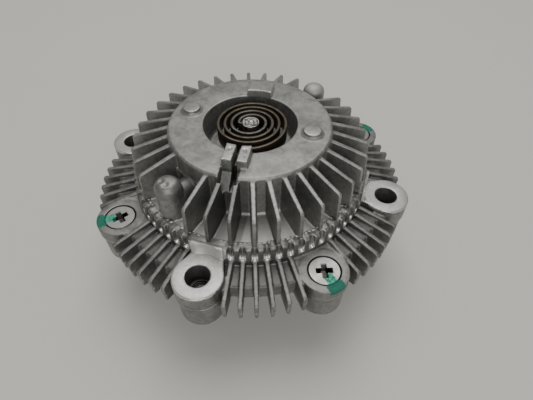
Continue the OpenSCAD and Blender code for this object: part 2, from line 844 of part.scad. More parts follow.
module valve_shaft() {
    z_head0 = z_vb1 + run_gap;
    z_groove = (z_vb0 + z_vb1) / 2;
    color(zinc)
    difference() {
        rotate_extrude()
            polygon([
                [0, z_plate + 0.35], [stem_r, z_plate + 0.35], [stem_r, z_arm1], [valve_r, z_arm1],
                [valve_r, z_groove - 0.6], [stem_r, z_groove - 0.6], [stem_r, z_groove + 0.6],
                [valve_r, z_groove + 0.6], [valve_r, z_head0], [valve_head_r, z_head0],
                [valve_head_r, z_top - 0.5], [valve_head_r - 0.5, z_top], [0, z_top]
            ]);
        // Slot for the coil's inner end
        rotate([0, 0, coil_a])
            translate([-valve_head_r - 1, -strip_t / 2 - 0.15, z_coil1 - 5])
                cube([2 * valve_head_r + 2, strip_t + 0.3, 6]);
    }
}

module valve_shaft_o_ring() {
    color(rubber_black)
        o_ring(valve_r - 0.49, 0.49, (z_vb0 + z_vb1) / 2);
}

module valve_arm() {
    color(bright_steel)
    translate([0, 0, z_arm0])
        linear_extrude(arm_t)
            difference() {
                union() {
                    circle(6);
                    rotate(feed_a) {
                        polygon([[0, -4], [feed_r, -2.6], [feed_r, 2.6], [0, 4]]);
                        translate([feed_r, 0])
                            circle(feed_d / 2 + 1.6);
                    }
                    // Tail that balances the arm
                    rotate(feed_a + 180)
                        polygon([[0, -4.5], [11, -3.5], [11, 3.5], [0, 4.5]]);
                }
                circle(stem_r + press_gap);
            }
}

drive_shaft();
bearing_inner_ring();
bearing_outer_ring();
bearing_balls();
bearing_cage();
bearing_front_seal();
bearing_rear_seal();
bearing_snap_ring();
rotor();
rotor_snap_ring();
rear_housing();
front_housing();
housing_o_ring();
front_cover();
cover_o_ring();
partition_plate();
valve_arm();
valve_shaft();
valve_shaft_o_ring();
bimetal_coil();
cover_screws();
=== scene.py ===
"""Viscous fan clutch: rounded castings, bimetal strip, screws, paint marks and studio."""

import json
import math

import bmesh
import bpy
import numpy as np
from bpy.props import FloatProperty, FloatVectorProperty, IntProperty, PointerProperty
from mathutils import Matrix, Vector, kdtree


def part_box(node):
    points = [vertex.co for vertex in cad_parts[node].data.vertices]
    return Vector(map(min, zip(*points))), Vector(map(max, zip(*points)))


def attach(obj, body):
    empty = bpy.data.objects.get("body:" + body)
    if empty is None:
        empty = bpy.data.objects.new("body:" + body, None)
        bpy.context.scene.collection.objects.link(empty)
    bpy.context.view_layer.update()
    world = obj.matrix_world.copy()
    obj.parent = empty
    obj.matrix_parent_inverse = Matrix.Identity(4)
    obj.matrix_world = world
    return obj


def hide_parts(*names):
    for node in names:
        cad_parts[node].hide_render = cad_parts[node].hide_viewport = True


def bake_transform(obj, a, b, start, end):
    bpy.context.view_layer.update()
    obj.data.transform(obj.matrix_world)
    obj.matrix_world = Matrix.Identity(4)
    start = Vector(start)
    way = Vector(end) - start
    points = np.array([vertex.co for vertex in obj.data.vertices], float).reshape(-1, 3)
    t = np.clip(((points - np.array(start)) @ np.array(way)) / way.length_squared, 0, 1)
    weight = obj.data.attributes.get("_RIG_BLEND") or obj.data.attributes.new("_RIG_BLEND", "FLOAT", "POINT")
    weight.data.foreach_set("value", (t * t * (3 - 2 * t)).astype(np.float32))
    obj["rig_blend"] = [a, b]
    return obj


bl_info = {
    "name": "Viscous fan clutch",
    "version": (1, 0, 0),
    "blender": (4, 5, 0),
    "location": "View3D > Sidebar > Fan clutch",
    "description": "Dresses a viscous fan clutch: castings, bimetal strip, screws, paint marks and studio",
    "category": "Object",
}

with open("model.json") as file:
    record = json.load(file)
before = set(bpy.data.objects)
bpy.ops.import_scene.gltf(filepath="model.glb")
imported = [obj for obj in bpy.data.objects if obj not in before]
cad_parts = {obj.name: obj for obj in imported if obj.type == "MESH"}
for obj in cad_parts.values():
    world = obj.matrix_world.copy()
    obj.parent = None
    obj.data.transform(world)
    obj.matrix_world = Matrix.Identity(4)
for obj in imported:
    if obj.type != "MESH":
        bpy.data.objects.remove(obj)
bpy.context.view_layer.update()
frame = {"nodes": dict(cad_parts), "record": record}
NODES = frame["nodes"]
MM = 0.001

# Sizes and heights that the frame gives
FAN_BOLTS = next(m for m in frame["record"]["mounts"] if m["name"] == "fan_bolts")
BOLT_R = FAN_BOLTS["dims"]["pcd_mm"] / 2 * MM
FAN_FACE_Z = FAN_BOLTS["pos_m"][2]
PARTING_Z, RIM_TOP_Z = (corner.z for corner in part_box("front_housing"))
SCREW_TIP_Z, HEAD_Z = (corner.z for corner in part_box("cover_screws"))
STRIP_LOW_Z, STRIP_HIGH_Z = (corner.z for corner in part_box("bimetal_coil"))
CAP_TOP_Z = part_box("valve_shaft")[1].z
LUG_TOP_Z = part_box("front_cover")[1].z

# Places on the castings, measured from the axis and the parting plane
RIM_R = 50.8 * MM
SHELF_R = 59.6 * MM
SHELF_TOP_Z = PARTING_Z + 5.6 * MM
SCREW_FACE_Z = PARTING_Z + 6.6 * MM
FLUTE_R = RIM_R - 0.2 * MM
FLUTE_LOW_Z = PARTING_Z + 8.8 * MM
FLUTES_PER_TURN = 72
FLUTE_STEP = 2 * math.pi / FLUTES_PER_TURN
LUG_TURN = math.radians(-83.4)
DOME_TURNS = (math.radians(-115), math.radians(65))
DOME_R = 43.3 * MM
DOME_SHOULDER_Z = PARTING_Z + 28.3 * MM

# Forms that are added to the castings here
BOSS_CLEAR_R = 8.6 * MM
WEB_LOW_Z = PARTING_Z + 3 * MM
DOME_WEB_R = 4.6 * MM
DOME_WEB_START = 33 * MM
DOME_WEB_Z = DOME_SHOULDER_Z - 6.7 * MM
STAKED_HEAD_R = 3.62 * MM
# Waves of the staked lip: share of the height, waves in a full turn, and where they start
LIP_WAVES = ((0.5, 29, 0.7), (0.3, 47, 2.1), (0.35, 83, 4.0))
# Dents in the staked head: X, Y, radius and depth of each, in millimetres
HEAD_DENTS = ((1.5, 0.9, 1.0, 0.45), (-1.3, 1.2, 0.9, 0.4), (-1.1, -1.4, 1.0, 0.45),
              (1.4, -1.2, 0.8, 0.35), (0.2, 0.1, 0.9, 0.3), (2.6, -0.2, 0.7, 0.25))

STRIP_HALF_TURNS = 7
STRIP_TAB_END = -0.6 * MM
# Turn of each cover screw's recess, from the line that joins the screw and the axis
RECESS_TURNS = tuple(math.radians(a) for a in (30, 75, 9, 65))
# How light the skin of each casting is, against the tones that are set. The cover is lighter and the
# housings darker as painted light and shade; the crumbs are much lighter, partly bright pushed metal and
# partly painted highlight.
SHADES = {"cover": 1.06, "front": 0.82, "rear": 0.86, "crumbs": 1.9}
# Between these two levels of a noise, one tone gives way to the other
PATCHY = (0.35, 0.7)


def length_setting(name, description, default, **limits):
    return FloatProperty(
        name=name, description=description, default=default, precision=5, unit="LENGTH", **limits)


def tone_setting(name, description, default):
    return FloatVectorProperty(
        name=name, description=description, default=default, subtype="COLOR", min=0, max=1)


class CastingSettings(bpy.types.PropertyGroup):
    """How the die castings are rounded and coloured."""

    grid: length_setting("Grid", "Cell of the mesh that rounds the edges", 0.28 * MM, min=0.1 * MM)
    passes: IntProperty(
        name="Softening", description="How many times the edges are eased", default=5, min=0, max=20)
    faces: IntProperty(
        name="Triangles", description="Most triangles in one casting", default=176000, min=20000, max=199000)
    lip_wave: length_setting("Lip wave", "How far the staked lip rises and dips", 0.28 * MM)
    dark: tone_setting("Dark tone", "Darker patches of the cast skin", (0.212, 0.214, 0.209))
    light: tone_setting("Light tone", "Lighter patches of the cast skin", (0.345, 0.346, 0.336))
    # The edge tone is also used for painted light on the deck, the second dome and the balance pad
    edge: tone_setting("Edge tone", "Rubbed outer edges", (0.62, 0.618, 0.60))
    # The machined tone, doubled, is also painted light on the fan bosses' upright walls
    machined: tone_setting("Machined tone", "Faced tops of the fan bosses", (0.45, 0.448, 0.438))
    # The punched tone is also the tone of painted highlights: the flutes' lower ends and the bosses' seams
    # and brows
    burnish_and_glint: tone_setting(
        "Punched tone", "Flutes that the staking punch has burnished", (0.72, 0.72, 0.70))


class ScrewSettings(bpy.types.PropertyGroup):
    """Sizes and colours of the cover screws and their paint marks."""

    head_r: length_setting("Head radius", "Radius of a countersunk head", 5.9 * MM)
    shank_r: length_setting("Shank radius", "Radius of a screw's shank", 3 * MM)
    recess: length_setting("Recess", "Reach of the cross recess from the middle", 3.3 * MM)
    arm: length_setting("Recess arm", "Width of one arm of the recess", 2.25 * MM)
    depth: length_setting("Recess depth", "Depth of the recess", 2.6 * MM)
    zinc: tone_setting("Zinc", "Plated heads", (0.335, 0.335, 0.325))
    paint: tone_setting("Paint", "Green torque mark", (0.0, 0.112, 0.075))
    paint_thin: tone_setting("Thin paint", "The mark where it is thin, on the head", (0.008, 0.39, 0.25))


class StripSettings(bpy.types.PropertyGroup):
    """Sizes and colours of the bimetal strip."""

    coil_r: length_setting("Coil radius", "Radius of the first half turn", 13.8 * MM)
    pitch: length_setting("Pitch", "Spacing of the turns", 2.73 * MM)
    thickness: length_setting("Thickness", "Thickness of the strip", 1.1 * MM)
    swing: length_setting("Outer swing", "How far the outer end swings out to the slot", 1.8 * MM)
    anchor_r: length_setting("Anchor radius", "Where the strip ends between the lugs", 26.5 * MM)
    tab: length_setting("Inner tab", "Width of the strip in the slot of the valve shaft", 4.5 * MM)
    turn: FloatProperty(
        name="Turn", description="Direction of the coil's two centres",
        default=math.radians(19.6), subtype="ANGLE")
    edge_tone: tone_setting("Edge tone", "Browned edges", (0.102, 0.088, 0.066))
    side_tone: tone_setting("Side tone", "Dark sides", (0.062, 0.05, 0.04))
    inner_tone: tone_setting("Inner tone", "Greyer innermost turn", (0.135, 0.133, 0.124))


class StageSettings(bpy.types.PropertyGroup):
    """Floor, light and camera."""

    floor: tone_setting("Floor", "Pale table top", (0.60, 0.592, 0.566))
    sky: FloatProperty(
        name="Room light", description="Strength of the even light of the room", default=0.34, min=0)
    panel: FloatProperty(
        name="Ceiling panel", description="Power of the panel above and behind",
        default=9.6, min=0, unit="POWER")
    focal: FloatProperty(
        name="Focal length", description="Lens of the camera, in millimetres", default=26.04, min=5)


def toned(colour, share, lift=0.0):
    """A colour made darker or lighter, up to white."""
    return tuple(min(1.0, share * c + lift) for c in colour)


class Nodes:
    """A node tree that grows by nodes, sums and products."""

    def __init__(self, tree):
        self.tree = tree

    def put(self, socket, value):
        """Links a socket to another one, or sets its value."""
        if isinstance(value, bpy.types.NodeSocket):
            self.tree.links.new(value, socket)
        elif socket.type == "RGBA":
            socket.default_value = (*value, 1.0)
        else:
            socket.default_value = value

    def add(self, kind, settings=None, **inputs):
        """Adds a node; inputs are named as on the node, with _ for a space."""
        node = self.tree.nodes.new(kind)
        for key, value in (settings or {}).items():
            setattr(node, key, value)
        for key, value in inputs.items():
            label = key.replace("_", " ")
            self.put(next(s for s in node.inputs if s.name == label and s.enabled), value)
        return node

    def math(self, operation, *values):
        node = self.add("ShaderNodeMath", {"operation": operation})
        for socket, value in zip(node.inputs, values):
            self.put(socket, value)
        return node.outputs[0]

    def times(self, *values):
        """Product of all the values."""
        product = values[0]
        for value in values[1:]:
            product = self.math("MULTIPLY", product, value)
        return product

    def plus(self, base, value, share):
        """The base and a share of the value."""
        return self.math("MULTIPLY_ADD", value, share, base)

    def split(self, vector):
        """The X, Y and Z of a vector."""
        return self.add("ShaderNodeSeparateXYZ", Vector=vector).outputs


class Finish(Nodes):
    """One procedural material: its shader, and places and patterns on the object's own coordinates."""

    def __init__(self, name):
        self.material = bpy.data.materials.new(name)
        self.material.use_nodes = True
        super().__init__(self.material.node_tree)
        self.shader = self.tree.nodes["Principled BSDF"]
        self.place = self.tree.nodes.new("ShaderNodeTexCoord").outputs["Object"]
        self.x, self.y, self.z = self.split(self.place)

    def coated(self, **values):
        """Sets the shader's own sockets, with _ for a space, and gives the material."""
        for name, value in values.items():
            self.put(self.shader.inputs[name.replace("_", " ")], value)
        return self.material

    def bump(self, height, depth, strength):
        node = self.add("ShaderNodeBump", Strength=strength, Distance=depth, Height=height)
        self.put(self.shader.inputs["Normal"], node.outputs[0])

    def noise(self, size, detail=2, rough=0.5, stretch=None):
        """Noise whose patches are about size metres across, stretched along axes if asked."""
        place = self.place
        if stretch:
            place = self.add("ShaderNodeMapping", Vector=place, Scale=stretch).outputs[0]
        node = self.add("ShaderNodeTexNoise", Vector=place, Scale=1 / size, Detail=detail, Roughness=rough)
        return node.outputs[0]

    def step(self, value, low, high):
        """0 at low and 1 at high, smooth between; low may be above high."""
        node = self.add("ShaderNodeMapRange", {"interpolation_type": "SMOOTHSTEP"}, Value=value,
                        From_Min=min(low, high), From_Max=max(low, high),
                        To_Min=float(low > high), To_Max=float(low < high))
        return node.outputs[0]

    def at_height(self, base, low, high):
        """A step over the height, between two heights in millimetres above the base."""
        return self.step(self.z, base + low * MM, base + high * MM)

    def band(self, value, low, rise, fall, high):
        """1 between rise and fall, and 0 below low and above high."""
        return self.times(self.step(value, low, rise), self.step(value, high, fall))

    def waves(self, value, length):
        """Sine waves of this length."""
        return self.math("SINE", self.times(value, 2 * math.pi / length))

    def most(self, a, b):
        return self.math("MAXIMUM", a, b)

    def far(self, a, b):
        """Distance of a place that lies a one way and b across."""
        return self.math("SQRT", self.plus(self.times(a, a), b, b))

    def blend(self, kind, share, a, b):
        node = self.add("ShaderNodeMix", {"data_type": kind}, Factor=share, A=a, B=b)
        return next(s for s in node.outputs if s.enabled)

    def mix(self, share, a, b):
        """Colour that goes from a to b."""
        return self.blend("RGBA", share, a, b)

    def between(self, share, a, b):
        """Value that goes from a to b."""
        return self.blend("FLOAT", share, a, b)

    def attribute(self, name):
        return self.add("ShaderNodeAttribute", {"attribute_name": name}).outputs["Fac"]

    def facing_up(self):
        """1 where the surface faces up, 0 where it is upright."""
        return self.split(self.tree.nodes.new("ShaderNodeNewGeometry").outputs["Normal"])[2]

    def radius(self):
        return self.far(self.x, self.y)

    def turned(self, turn):
        """Place along a line from the axis at this turn, and the distance aside of it."""
        along = self.plus(self.times(self.x, math.cos(turn)), self.y, math.sin(turn))
        aside = self.plus(self.times(self.y, math.cos(turn)), self.x, -math.sin(turn))
        return along, self.math("ABSOLUTE", aside)

    def folded(self):
        """Place out towards the nearest fan hole, and the distance aside of that line."""
        a, b = self.math("ABSOLUTE", self.x), self.math("ABSOLUTE", self.y)
        return self.most(a, b), self.math("MINIMUM", a, b)

    def from_fan_hole(self):
        """Distance from the axis of the nearest fan hole."""
        out, side = self.folded()
        return self.far(self.math("SUBTRACT", out, BOLT_R), side)

    def from_flute(self):
        """Distance from the axis of the nearest staking flute."""
        turns = self.math("DIVIDE", self.math("ARCTAN2", self.y, self.x), FLUTE_STEP)
        off = self.math("SUBTRACT", turns, self.math("ROUND", turns))
        radius = self.radius()
        return self.far(self.math("SUBTRACT", radius, FLUTE_R), self.times(off, FLUTE_STEP, radius))

    def from_screw(self):
        """Places outward from the nearest cover screw's axis, and sideways of it."""
        a, b = self.math("ABSOLUTE", self.x), self.math("ABSOLUTE", self.y)
        diagonal = math.sqrt(0.5)
        out = self.plus(-BOLT_R, self.math("ADD", a, b), diagonal)
        return out, self.times(self.math("SUBTRACT", a, b), diagonal)

    def from_boss(self):
        """Distance from the axis of the nearest boss, of a fan hole or a screw."""
        return self.math("MINIMUM", self.far(*self.from_screw()), self.from_fan_hole())

    def paint_mark(self):
        """Share of green paint: a brushed stroke from each screw's recess out over its boss."""
        out, side = self.from_screw()
        lean = self.times(self.math("ADD", self.math("SIGN", self.x), self.math("SIGN", self.y)), -0.6 * MM)
        ragged = self.times(self.math("SUBTRACT", self.noise(1.1 * MM), 0.5), 1.5 * MM)
        half = self.between(self.step(out, 5.0 * MM, 6.6 * MM), 2.0 * MM, 3.5 * MM)
        half = self.math("ADD", half, ragged)
        off = self.math("ABSOLUTE", self.math("SUBTRACT", side, lean))
        across = self.step(self.math("SUBTRACT", half, off), -0.15 * MM, 0.5 * MM)
        along = self.step(out, 1.4 * MM, 2.2 * MM)
        drip = self.plus(self.z, ragged, 1.4)
        return self.times(across, along, self.step(drip, HEAD_Z - 1.9 * MM, HEAD_Z - 1.2 * MM))


class CastSkin(Finish):
    """Die-cast aluminium: a cloudy satin skin with a fine grain, rubbed edges and painted shade in the
    concave corners. Its marks are laid over each other in the order in which they are called."""

    def __init__(self, name, look, shade, calm_above=None):
        """The shade scales the skin's tones, and edges above calm_above are rubbed less."""
        super().__init__(name)
        self.look = look
        self.dark, light = toned(look.dark, shade), toned(look.light, shade)
        self.cloud, self.mottle = self.noise(11 * MM, 3), self.noise(1.6 * MM, 3, 0.6)
        self.up = self.facing_up()
        grain, edge = self.noise(0.34 * MM), self.attribute("edge")
        tone = self.plus(self.times(self.cloud, 0.5), self.mottle, 0.5)
        self.skin = {
            "colour": self.mix(self.step(tone, 0.36, 0.64), self.dark, light),
            "rough": self.plus(self.plus(0.36, tone, 0.22), self.step(edge, 0.1, 0.8), -0.1),
            "height": self.plus(self.times(self.mottle, 0.7), grain, 0.3),
            "metal": 0.85}
        rubbed = self.times(self.step(edge, 0.12, 0.75), 0.75)
        if calm_above:
            over = self.at_height(calm_above, 0.3, 0.7)
            rubbed = self.times(rubbed, self.between(over, 1.0, 0.3))
        self.lay(rubbed, colour=look.edge)
        # Painted shade: the concave corners are darkened
        self.lay(self.times(self.step(edge, -0.1, -0.7), 0.45), colour=toned(self.dark, 0.35))

    def lay(self, share, **patch):
        """Lays a patch of another colour, roughness, metal or height over the skin."""
        for key, value in patch.items():
            over = self.mix if key == "colour" else self.between
            self.skin[key] = over(share, self.skin[key], value)

    def cap_wear_and_light(self):
        """Stains on the cap's level top, rubbed tops above it, and painted light on the deck between the
        fins.
        """
        level = self.times(self.at_height(CAP_TOP_Z, -0.9, -0.5), self.step(self.up, 0.7, 0.9))
        stain = self.plus(0.14, self.step(self.noise(7 * MM, 4, 0.62), 0.42, 0.68), 0.34)
        self.lay(self.times(level, stain), colour=toned(self.dark, 0.5))
        rub = self.times(self.at_height(CAP_TOP_Z, 0.8, 1.2),
                         self.step(self.up, 0.8, 0.95), self.step(self.mottle, 0.25, 0.5))
        self.lay(self.times(rub, 0.28), colour=self.look.edge)
        self.lay(rub, rough=0.34)
        # Painted light: the up-facing deck between the fins is lightened
        deck = self.times(self.at_height(RIM_TOP_Z, 6, 3), self.step(self.up, 0.5, 0.75))
        self.lay(self.times(deck, 0.45), colour=self.look.edge)

    def dome_shade_and_light(self):
        """Painted shade on the webs of the domes, which stand opposite each other, on the first one's crown
        and in the notch under the lugs; painted light on the rougher second dome and the inner face of the
        balance pad."""
        along, aside = self.turned(DOME_TURNS[1])
        reach = self.math("ABSOLUTE", along)
        near = self.times(self.step(aside, 5.6 * MM, 4.8 * MM),
                          self.step(reach, DOME_WEB_START, DOME_WEB_START + 1 * MM))
        web = self.times(self.step(reach, DOME_R - 2.5 * MM, DOME_R - 5 * MM),
                         self.at_height(DOME_SHOULDER_Z, 1, -1.5))
        second = self.step(along, -1 * MM, 1 * MM)
        crown = self.times(self.at_height(DOME_SHOULDER_Z, 0, 2), self.math("SUBTRACT", 1.0, second))
        domes = self.times(near, self.most(self.times(web, 0.6), self.times(crown, 0.3)))
        out, aside = self.turned(LUG_TURN)
        notch = self.times(self.step(aside, 6.4 * MM, 5.6 * MM), self.step(out, 25 * MM, 26 * MM),
                           self.at_height(CAP_TOP_Z, -0.4, -1.2))
        # Painted shade: the webs, the first dome's crown and the notch under the lugs are darkened
        self.lay(self.most(domes, self.times(notch, 0.5)), colour=toned(self.dark, 0.3))
        lit_patch = self.times(near, second, self.at_height(DOME_SHOULDER_Z, -2, 0))
        self.lay(lit_patch, rough=0.6)
        inner = self.times(self.step(out, -12 * MM, -14 * MM), self.step(aside, 6 * MM, 5.4 * MM),
                           self.step(self.up, 0.6, 0.3), self.at_height(CAP_TOP_Z, -0.8, 0))
        # Painted light: the second dome and the inner face of the balance pad are lightened
        lit_patch = self.most(self.times(lit_patch, 0.35), self.times(inner, 0.6))
        self.lay(lit_patch, colour=self.look.edge)

    def rim_shade_and_burnish(self):
        """Painted shade in the pockets between the fins and on the wall under the staked lip, and the flutes
        that the round-nosed punch has burnished, with a painted highlight at their lower ends, none of them
        behind a fan boss."""
        radius = self.radius()
        pocket = self.times(self.at_height(SHELF_TOP_Z, 0.3, 0.1),
                            self.step(radius, SHELF_R + 0.1 * MM, SHELF_R - 0.3 * MM),
                            self.step(self.up, 0.5, 0.8))
        fluted = self.at_height(FLUTE_LOW_Z, -0.9, 0.3)
        wall = self.times(self.at_height(RIM_TOP_Z, -0.8, -1.3),
                          self.step(radius, RIM_R + 0.9 * MM, RIM_R + 0.6 * MM),
                          self.step(self.up, 0.5, 0.2), self.step(self.from_boss(), 12.6 * MM, 14 * MM),
                          self.between(fluted, 1.0, 0.3))
        # Painted shade: the pockets between the fins and the wall under the lip are darkened
        painted_shade = self.times(self.most(pocket, wall), self.plus(0.45, self.cloud, 0.3))
        self.lay(painted_shade, colour=toned(self.dark, 0.25))
        clear = self.step(self.folded()[1], 6.6 * MM, 7.2 * MM)
        burnish_and_glint = self.times(self.step(self.from_flute(), 1.52 * MM, 1.34 * MM), clear,
                             self.at_height(FLUTE_LOW_Z, -0.5, -0.1))
        # The burnished flutes are smoother, and their lower ends carry a painted highlight, which fades
        # upward
        highlight_fade = self.at_height(FLUTE_LOW_Z, 0.5, 2.0)
        bright = self.mix(highlight_fade, self.look.burnish_and_glint, toned(self.look.burnish_and_glint, 0.44))
        self.lay(burnish_and_glint, colour=bright, rough=self.plus(0.14, self.mottle, 0.12))

    def boss_marks_and_painted_light(self):
        """Painted highlights along the fan bosses' top edges and where the bosses meet the rear housing,
        over a dark joint, with turning marks round the screws and the bright faces of the fan bosses, whose
        walls get painted light."""
        away, hole = self.from_boss(), self.from_fan_hole()
        boss = self.band(away, 8.2 * MM, 8.5 * MM, 9.6 * MM, 9.9 * MM)
        rise = self.plus(self.z, self.math("SUBTRACT", self.cloud, 0.5), 0.7 * MM)
        joint = self.times(boss, self.step(rise, PARTING_Z + 1.15 * MM, PARTING_Z + 0.95 * MM))
        self.lay(self.times(joint, 0.8), colour=toned(self.dark, 0.2))
        line = self.band(rise, PARTING_Z + 1.0 * MM, PARTING_Z + 1.15 * MM,
                         PARTING_Z + 1.55 * MM, PARTING_Z + 1.75 * MM)
        seam_glint = self.times(boss, line, self.between(self.step(self.noise(9 * MM, 1), 0.42, 0.56), 0.25, 1.0))
        brow = self.times(self.band(hole, 8.7 * MM, 8.95 * MM, 9.6 * MM, 9.9 * MM),
                          self.at_height(FAN_FACE_Z, -1.1, -0.8),
                          self.step(self.up, 0.97, 0.9), self.step(self.mottle, 0.3, 0.5))
        seam_glint = self.most(seam_glint, brow)
        # Painted highlight: bright, smooth glints on the seams and the fan bosses' brows
        self.lay(self.times(seam_glint, 0.9), colour=self.look.burnish_and_glint)
        self.lay(seam_glint, rough=0.17)
        spot = self.times(self.step(away, 10.6 * MM, 10 * MM), self.step(self.up, 0.8, 0.95),
                          self.band(self.z, SCREW_FACE_Z - 0.5 * MM, SCREW_FACE_Z - 0.3 * MM,
                                    SCREW_FACE_Z + 0.3 * MM, SCREW_FACE_Z + 0.5 * MM))
        rings = self.times(self.waves(away, 0.62 * MM), self.step(self.mottle, 0.3, 0.6))
        self.lay(self.times(spot, self.plus(0.2, rings, 0.1)), colour=toned(self.dark, 0.3))
        out, side = self.folded()
        neck = self.times(self.step(side, 7.5 * MM, 7.1 * MM),
                          self.step(out, RIM_R - 0.7 * MM, RIM_R - 0.5 * MM))
        face = self.times(self.at_height(FAN_FACE_Z, -0.16, -0.05),
                          self.most(neck, self.step(hole, 9.9 * MM, 9.7 * MM)))
        streak, machined = self.noise(0.8 * MM, 3), self.look.machined
        bright = self.mix(self.step(streak, *PATCHY), machined, toned(machined, 0.86))
        # Painted light: the upright machined walls are painted twice as light as the faces
        bright = self.mix(self.step(self.up, 0.7, 0.3), bright, toned(machined, 2.0))
        self.lay(face, colour=bright, rough=self.plus(0.32, streak, 0.2),
                 height=self.times(self.waves(hole, 0.42 * MM), 0.12))

    def painted(self, screws):
        """Dark gaps round the screw heads, fan holes that get darker towards their threads, and paint."""
        head = screws.head_r
        gap = self.times(self.band(self.far(*self.from_screw()), head - 0.25 * MM, head - 0.05 * MM,
                                   head + 0.42 * MM, head + 0.62 * MM),
                         self.at_height(PARTING_Z, 0, 0.5))
        self.lay(self.times(gap, 0.93), colour=(0.012, 0.012, 0.011))
        # The fan holes get darker towards their threads
        darker_deep = self.times(self.step(self.from_fan_hole(), 4.8 * MM, 4.62 * MM),
                         self.at_height(PARTING_Z, 3, -2))
        self.lay(self.times(darker_deep, 0.8), colour=(0.06, 0.05, 0.039))
        brush = self.step(self.noise(0.9 * MM, 3, 0.6), *PATCHY)
        green = self.mix(brush, screws.paint, toned(screws.paint, 1.35, 0.006))
        self.lay(self.paint_mark(), colour=green, rough=0.7, metal=0.0)

    def done(self):
        self.bump(self.skin["height"], 0.05 * MM, 0.6)
        return self.coated(Base_Color=self.skin["colour"], Roughness=self.skin["rough"],
                           Metallic=self.skin["metal"])


def zinc_finish(name, screws):
    """Bright zinc plate with a fine grain, a dark recess and the thin green mark."""
    f = Finish(name)
    cloud = f.noise(2.2 * MM, 3)
    colour = f.mix(f.step(cloud, *PATCHY), screws.zinc, toned(screws.zinc, 0.84))
    deep = f.at_height(HEAD_Z, -0.1, -0.7)
    colour = f.mix(f.times(deep, 0.92), colour, (0.03, 0.029, 0.027))
    brush = f.step(f.noise(0.7 * MM, 3, 0.6), *PATCHY)
    mark = f.times(f.paint_mark(), f.step(f.noise(0.55 * MM), 0.3, 0.46))
    colour = f.mix(mark, colour, f.mix(brush, screws.paint_thin, screws.paint))
    f.bump(f.noise(0.28 * MM), 0.02 * MM, 0.5)
    return f.coated(Base_Color=colour, Roughness=f.between(mark, f.plus(0.26, cloud, 0.2), 0.62),
                    Metallic=f.math("SUBTRACT", 1.0, mark))


def strip_finish(name, strip):
    """Browned bimetal: pale rubbed edges, near-black sides, and a greyer innermost turn."""
    f = Finish(name)
    top, streak = f.step(f.facing_up(), 0.35, 0.8), f.noise(2.0 * MM, 3)
    rubbed = f.mix(f.step(f.attribute("along"), 0.62, 0.86), strip.edge_tone, strip.inner_tone)
    rubbed = f.mix(f.step(streak, 0.35, 0.75), rubbed, toned(strip.edge_tone, 0.62))
    f.bump(f.noise(0.4 * MM), 0.03 * MM, 0.5)
    return f.coated(Base_Color=f.mix(top, strip.side_tone, rubbed),
                    Roughness=f.between(top, 0.5, f.plus(0.3, streak, 0.2)), Metallic=0.85)


def turned_finish(name, tone, rough, line):
    """Turned metal: fine rings round the axis, one line apart, and faint handling stains."""
    f = Finish(name)
    stain, streak, edge = f.noise(7 * MM, 3), f.noise(0.9 * MM, 3), f.attribute("edge")
    colour = f.mix(f.step(stain, *PATCHY), tone, toned(tone, 0.8))
    colour = f.mix(f.times(f.step(edge, 0.15, 0.8), 0.6), colour, toned(tone, 1.35))
    turns = f.waves(f.math("ADD", f.radius(), f.z), line)
    f.bump(f.plus(streak, turns, 0.35), 0.015 * MM, 0.6)
    return f.coated(Base_Color=colour, Roughness=f.plus(rough, streak, 0.16), Metallic=1.0)


def thread_finish(name):
    """Tapped thread: bright crests over near-black flanks."""
    f = Finish(name)
    crest = f.step(f.from_fan_hole(), 3.3 * MM, 3.08 * MM)
    return f.coated(Base_Color=f.mix(crest, (0.03, 0.027, 0.023), (0.85, 0.845, 0.83)), Roughness=0.22,
                    Metallic=1.0)


def staked_finish(name, tone):
    """Bright peened metal: the tool's scribbled turns over dents and scratches."""
    f = Finish(name)
    dent, scratch = f.noise(0.55 * MM), f.noise(0.5 * MM, 3, 0.6, (0.25, 1.0, 1.0))
    turns = f.plus(f.math("ARCTAN2", f.y, f.x), f.radius(), 2 * math.pi / (1.35 * MM))
    scribble = f.math("SINE", f.plus(turns, f.noise(1.6 * MM, 1), 8.0))
    groove = f.most(f.step(scribble, 0.1, -0.6), f.step(dent, 0.42, 0.32))
    f.bump(f.plus(dent, scribble, 0.2), 0.06 * MM, 0.5)
    return f.coated(Base_Color=f.mix(groove, tone, toned(tone, 0.2)), Roughness=f.plus(0.3, scratch, 0.2),
                    Metallic=1.0)


def rubber_finish(name):
    """Black seal rubber with a dusty bloom."""
    f = Finish(name)
    bloom = f.noise(3 * MM, 3)
    f.bump(f.noise(0.3 * MM), 0.02 * MM, 0.4)
    return f.coated(Base_Color=f.mix(f.step(bloom, 0.4, 0.8), (0.016, 0.016, 0.016), (0.045, 0.044, 0.042)),
                    Roughness=f.plus(0.5, bloom, 0.25))


def floor_finish(name, tone):
    """Smooth pale table top with a very faint unevenness."""
    f = Finish(name)
    drift = f.noise(0.35)
    return f.coated(Base_Color=f.mix(drift, toned(tone, 0.985), toned(tone, 1.015)),
                    Roughness=f.plus(0.55, drift, 0.1), Specular_IOR_Level=0.25)


def rows_of(items, key):
    """Vectors of a mesh's points or normals as an array, one to a row."""
    spread = np.empty(len(items) * 3, np.float32)
    items.foreach_get(key, spread)
    return spread.reshape(-1, 3)


def settled(piece):
    """Turns a piece's modifiers into its plain mesh."""
    bpy.context.view_layer.update()
    graph = bpy.context.evaluated_depsgraph_get()
    mesh = bpy.data.meshes.new_from_object(piece.evaluated_get(graph))
    piece.modifiers.clear()
    old, piece.data = piece.data, mesh
    bpy.data.meshes.remove(old)
    return mesh


def new_piece(name, data=None):
    """A piece in the scene, with an empty mesh if no data is given."""
    piece = bpy.data.objects.new(name, data or bpy.data.meshes.new(name))
    bpy.context.scene.collection.objects.link(piece)
    return piece


def shaped_piece(name, shape):
    """A piece with a bmesh's shape, which is freed."""
    piece = new_piece(name)
    shape.to_mesh(piece.data)
    shape.free()
    return piece


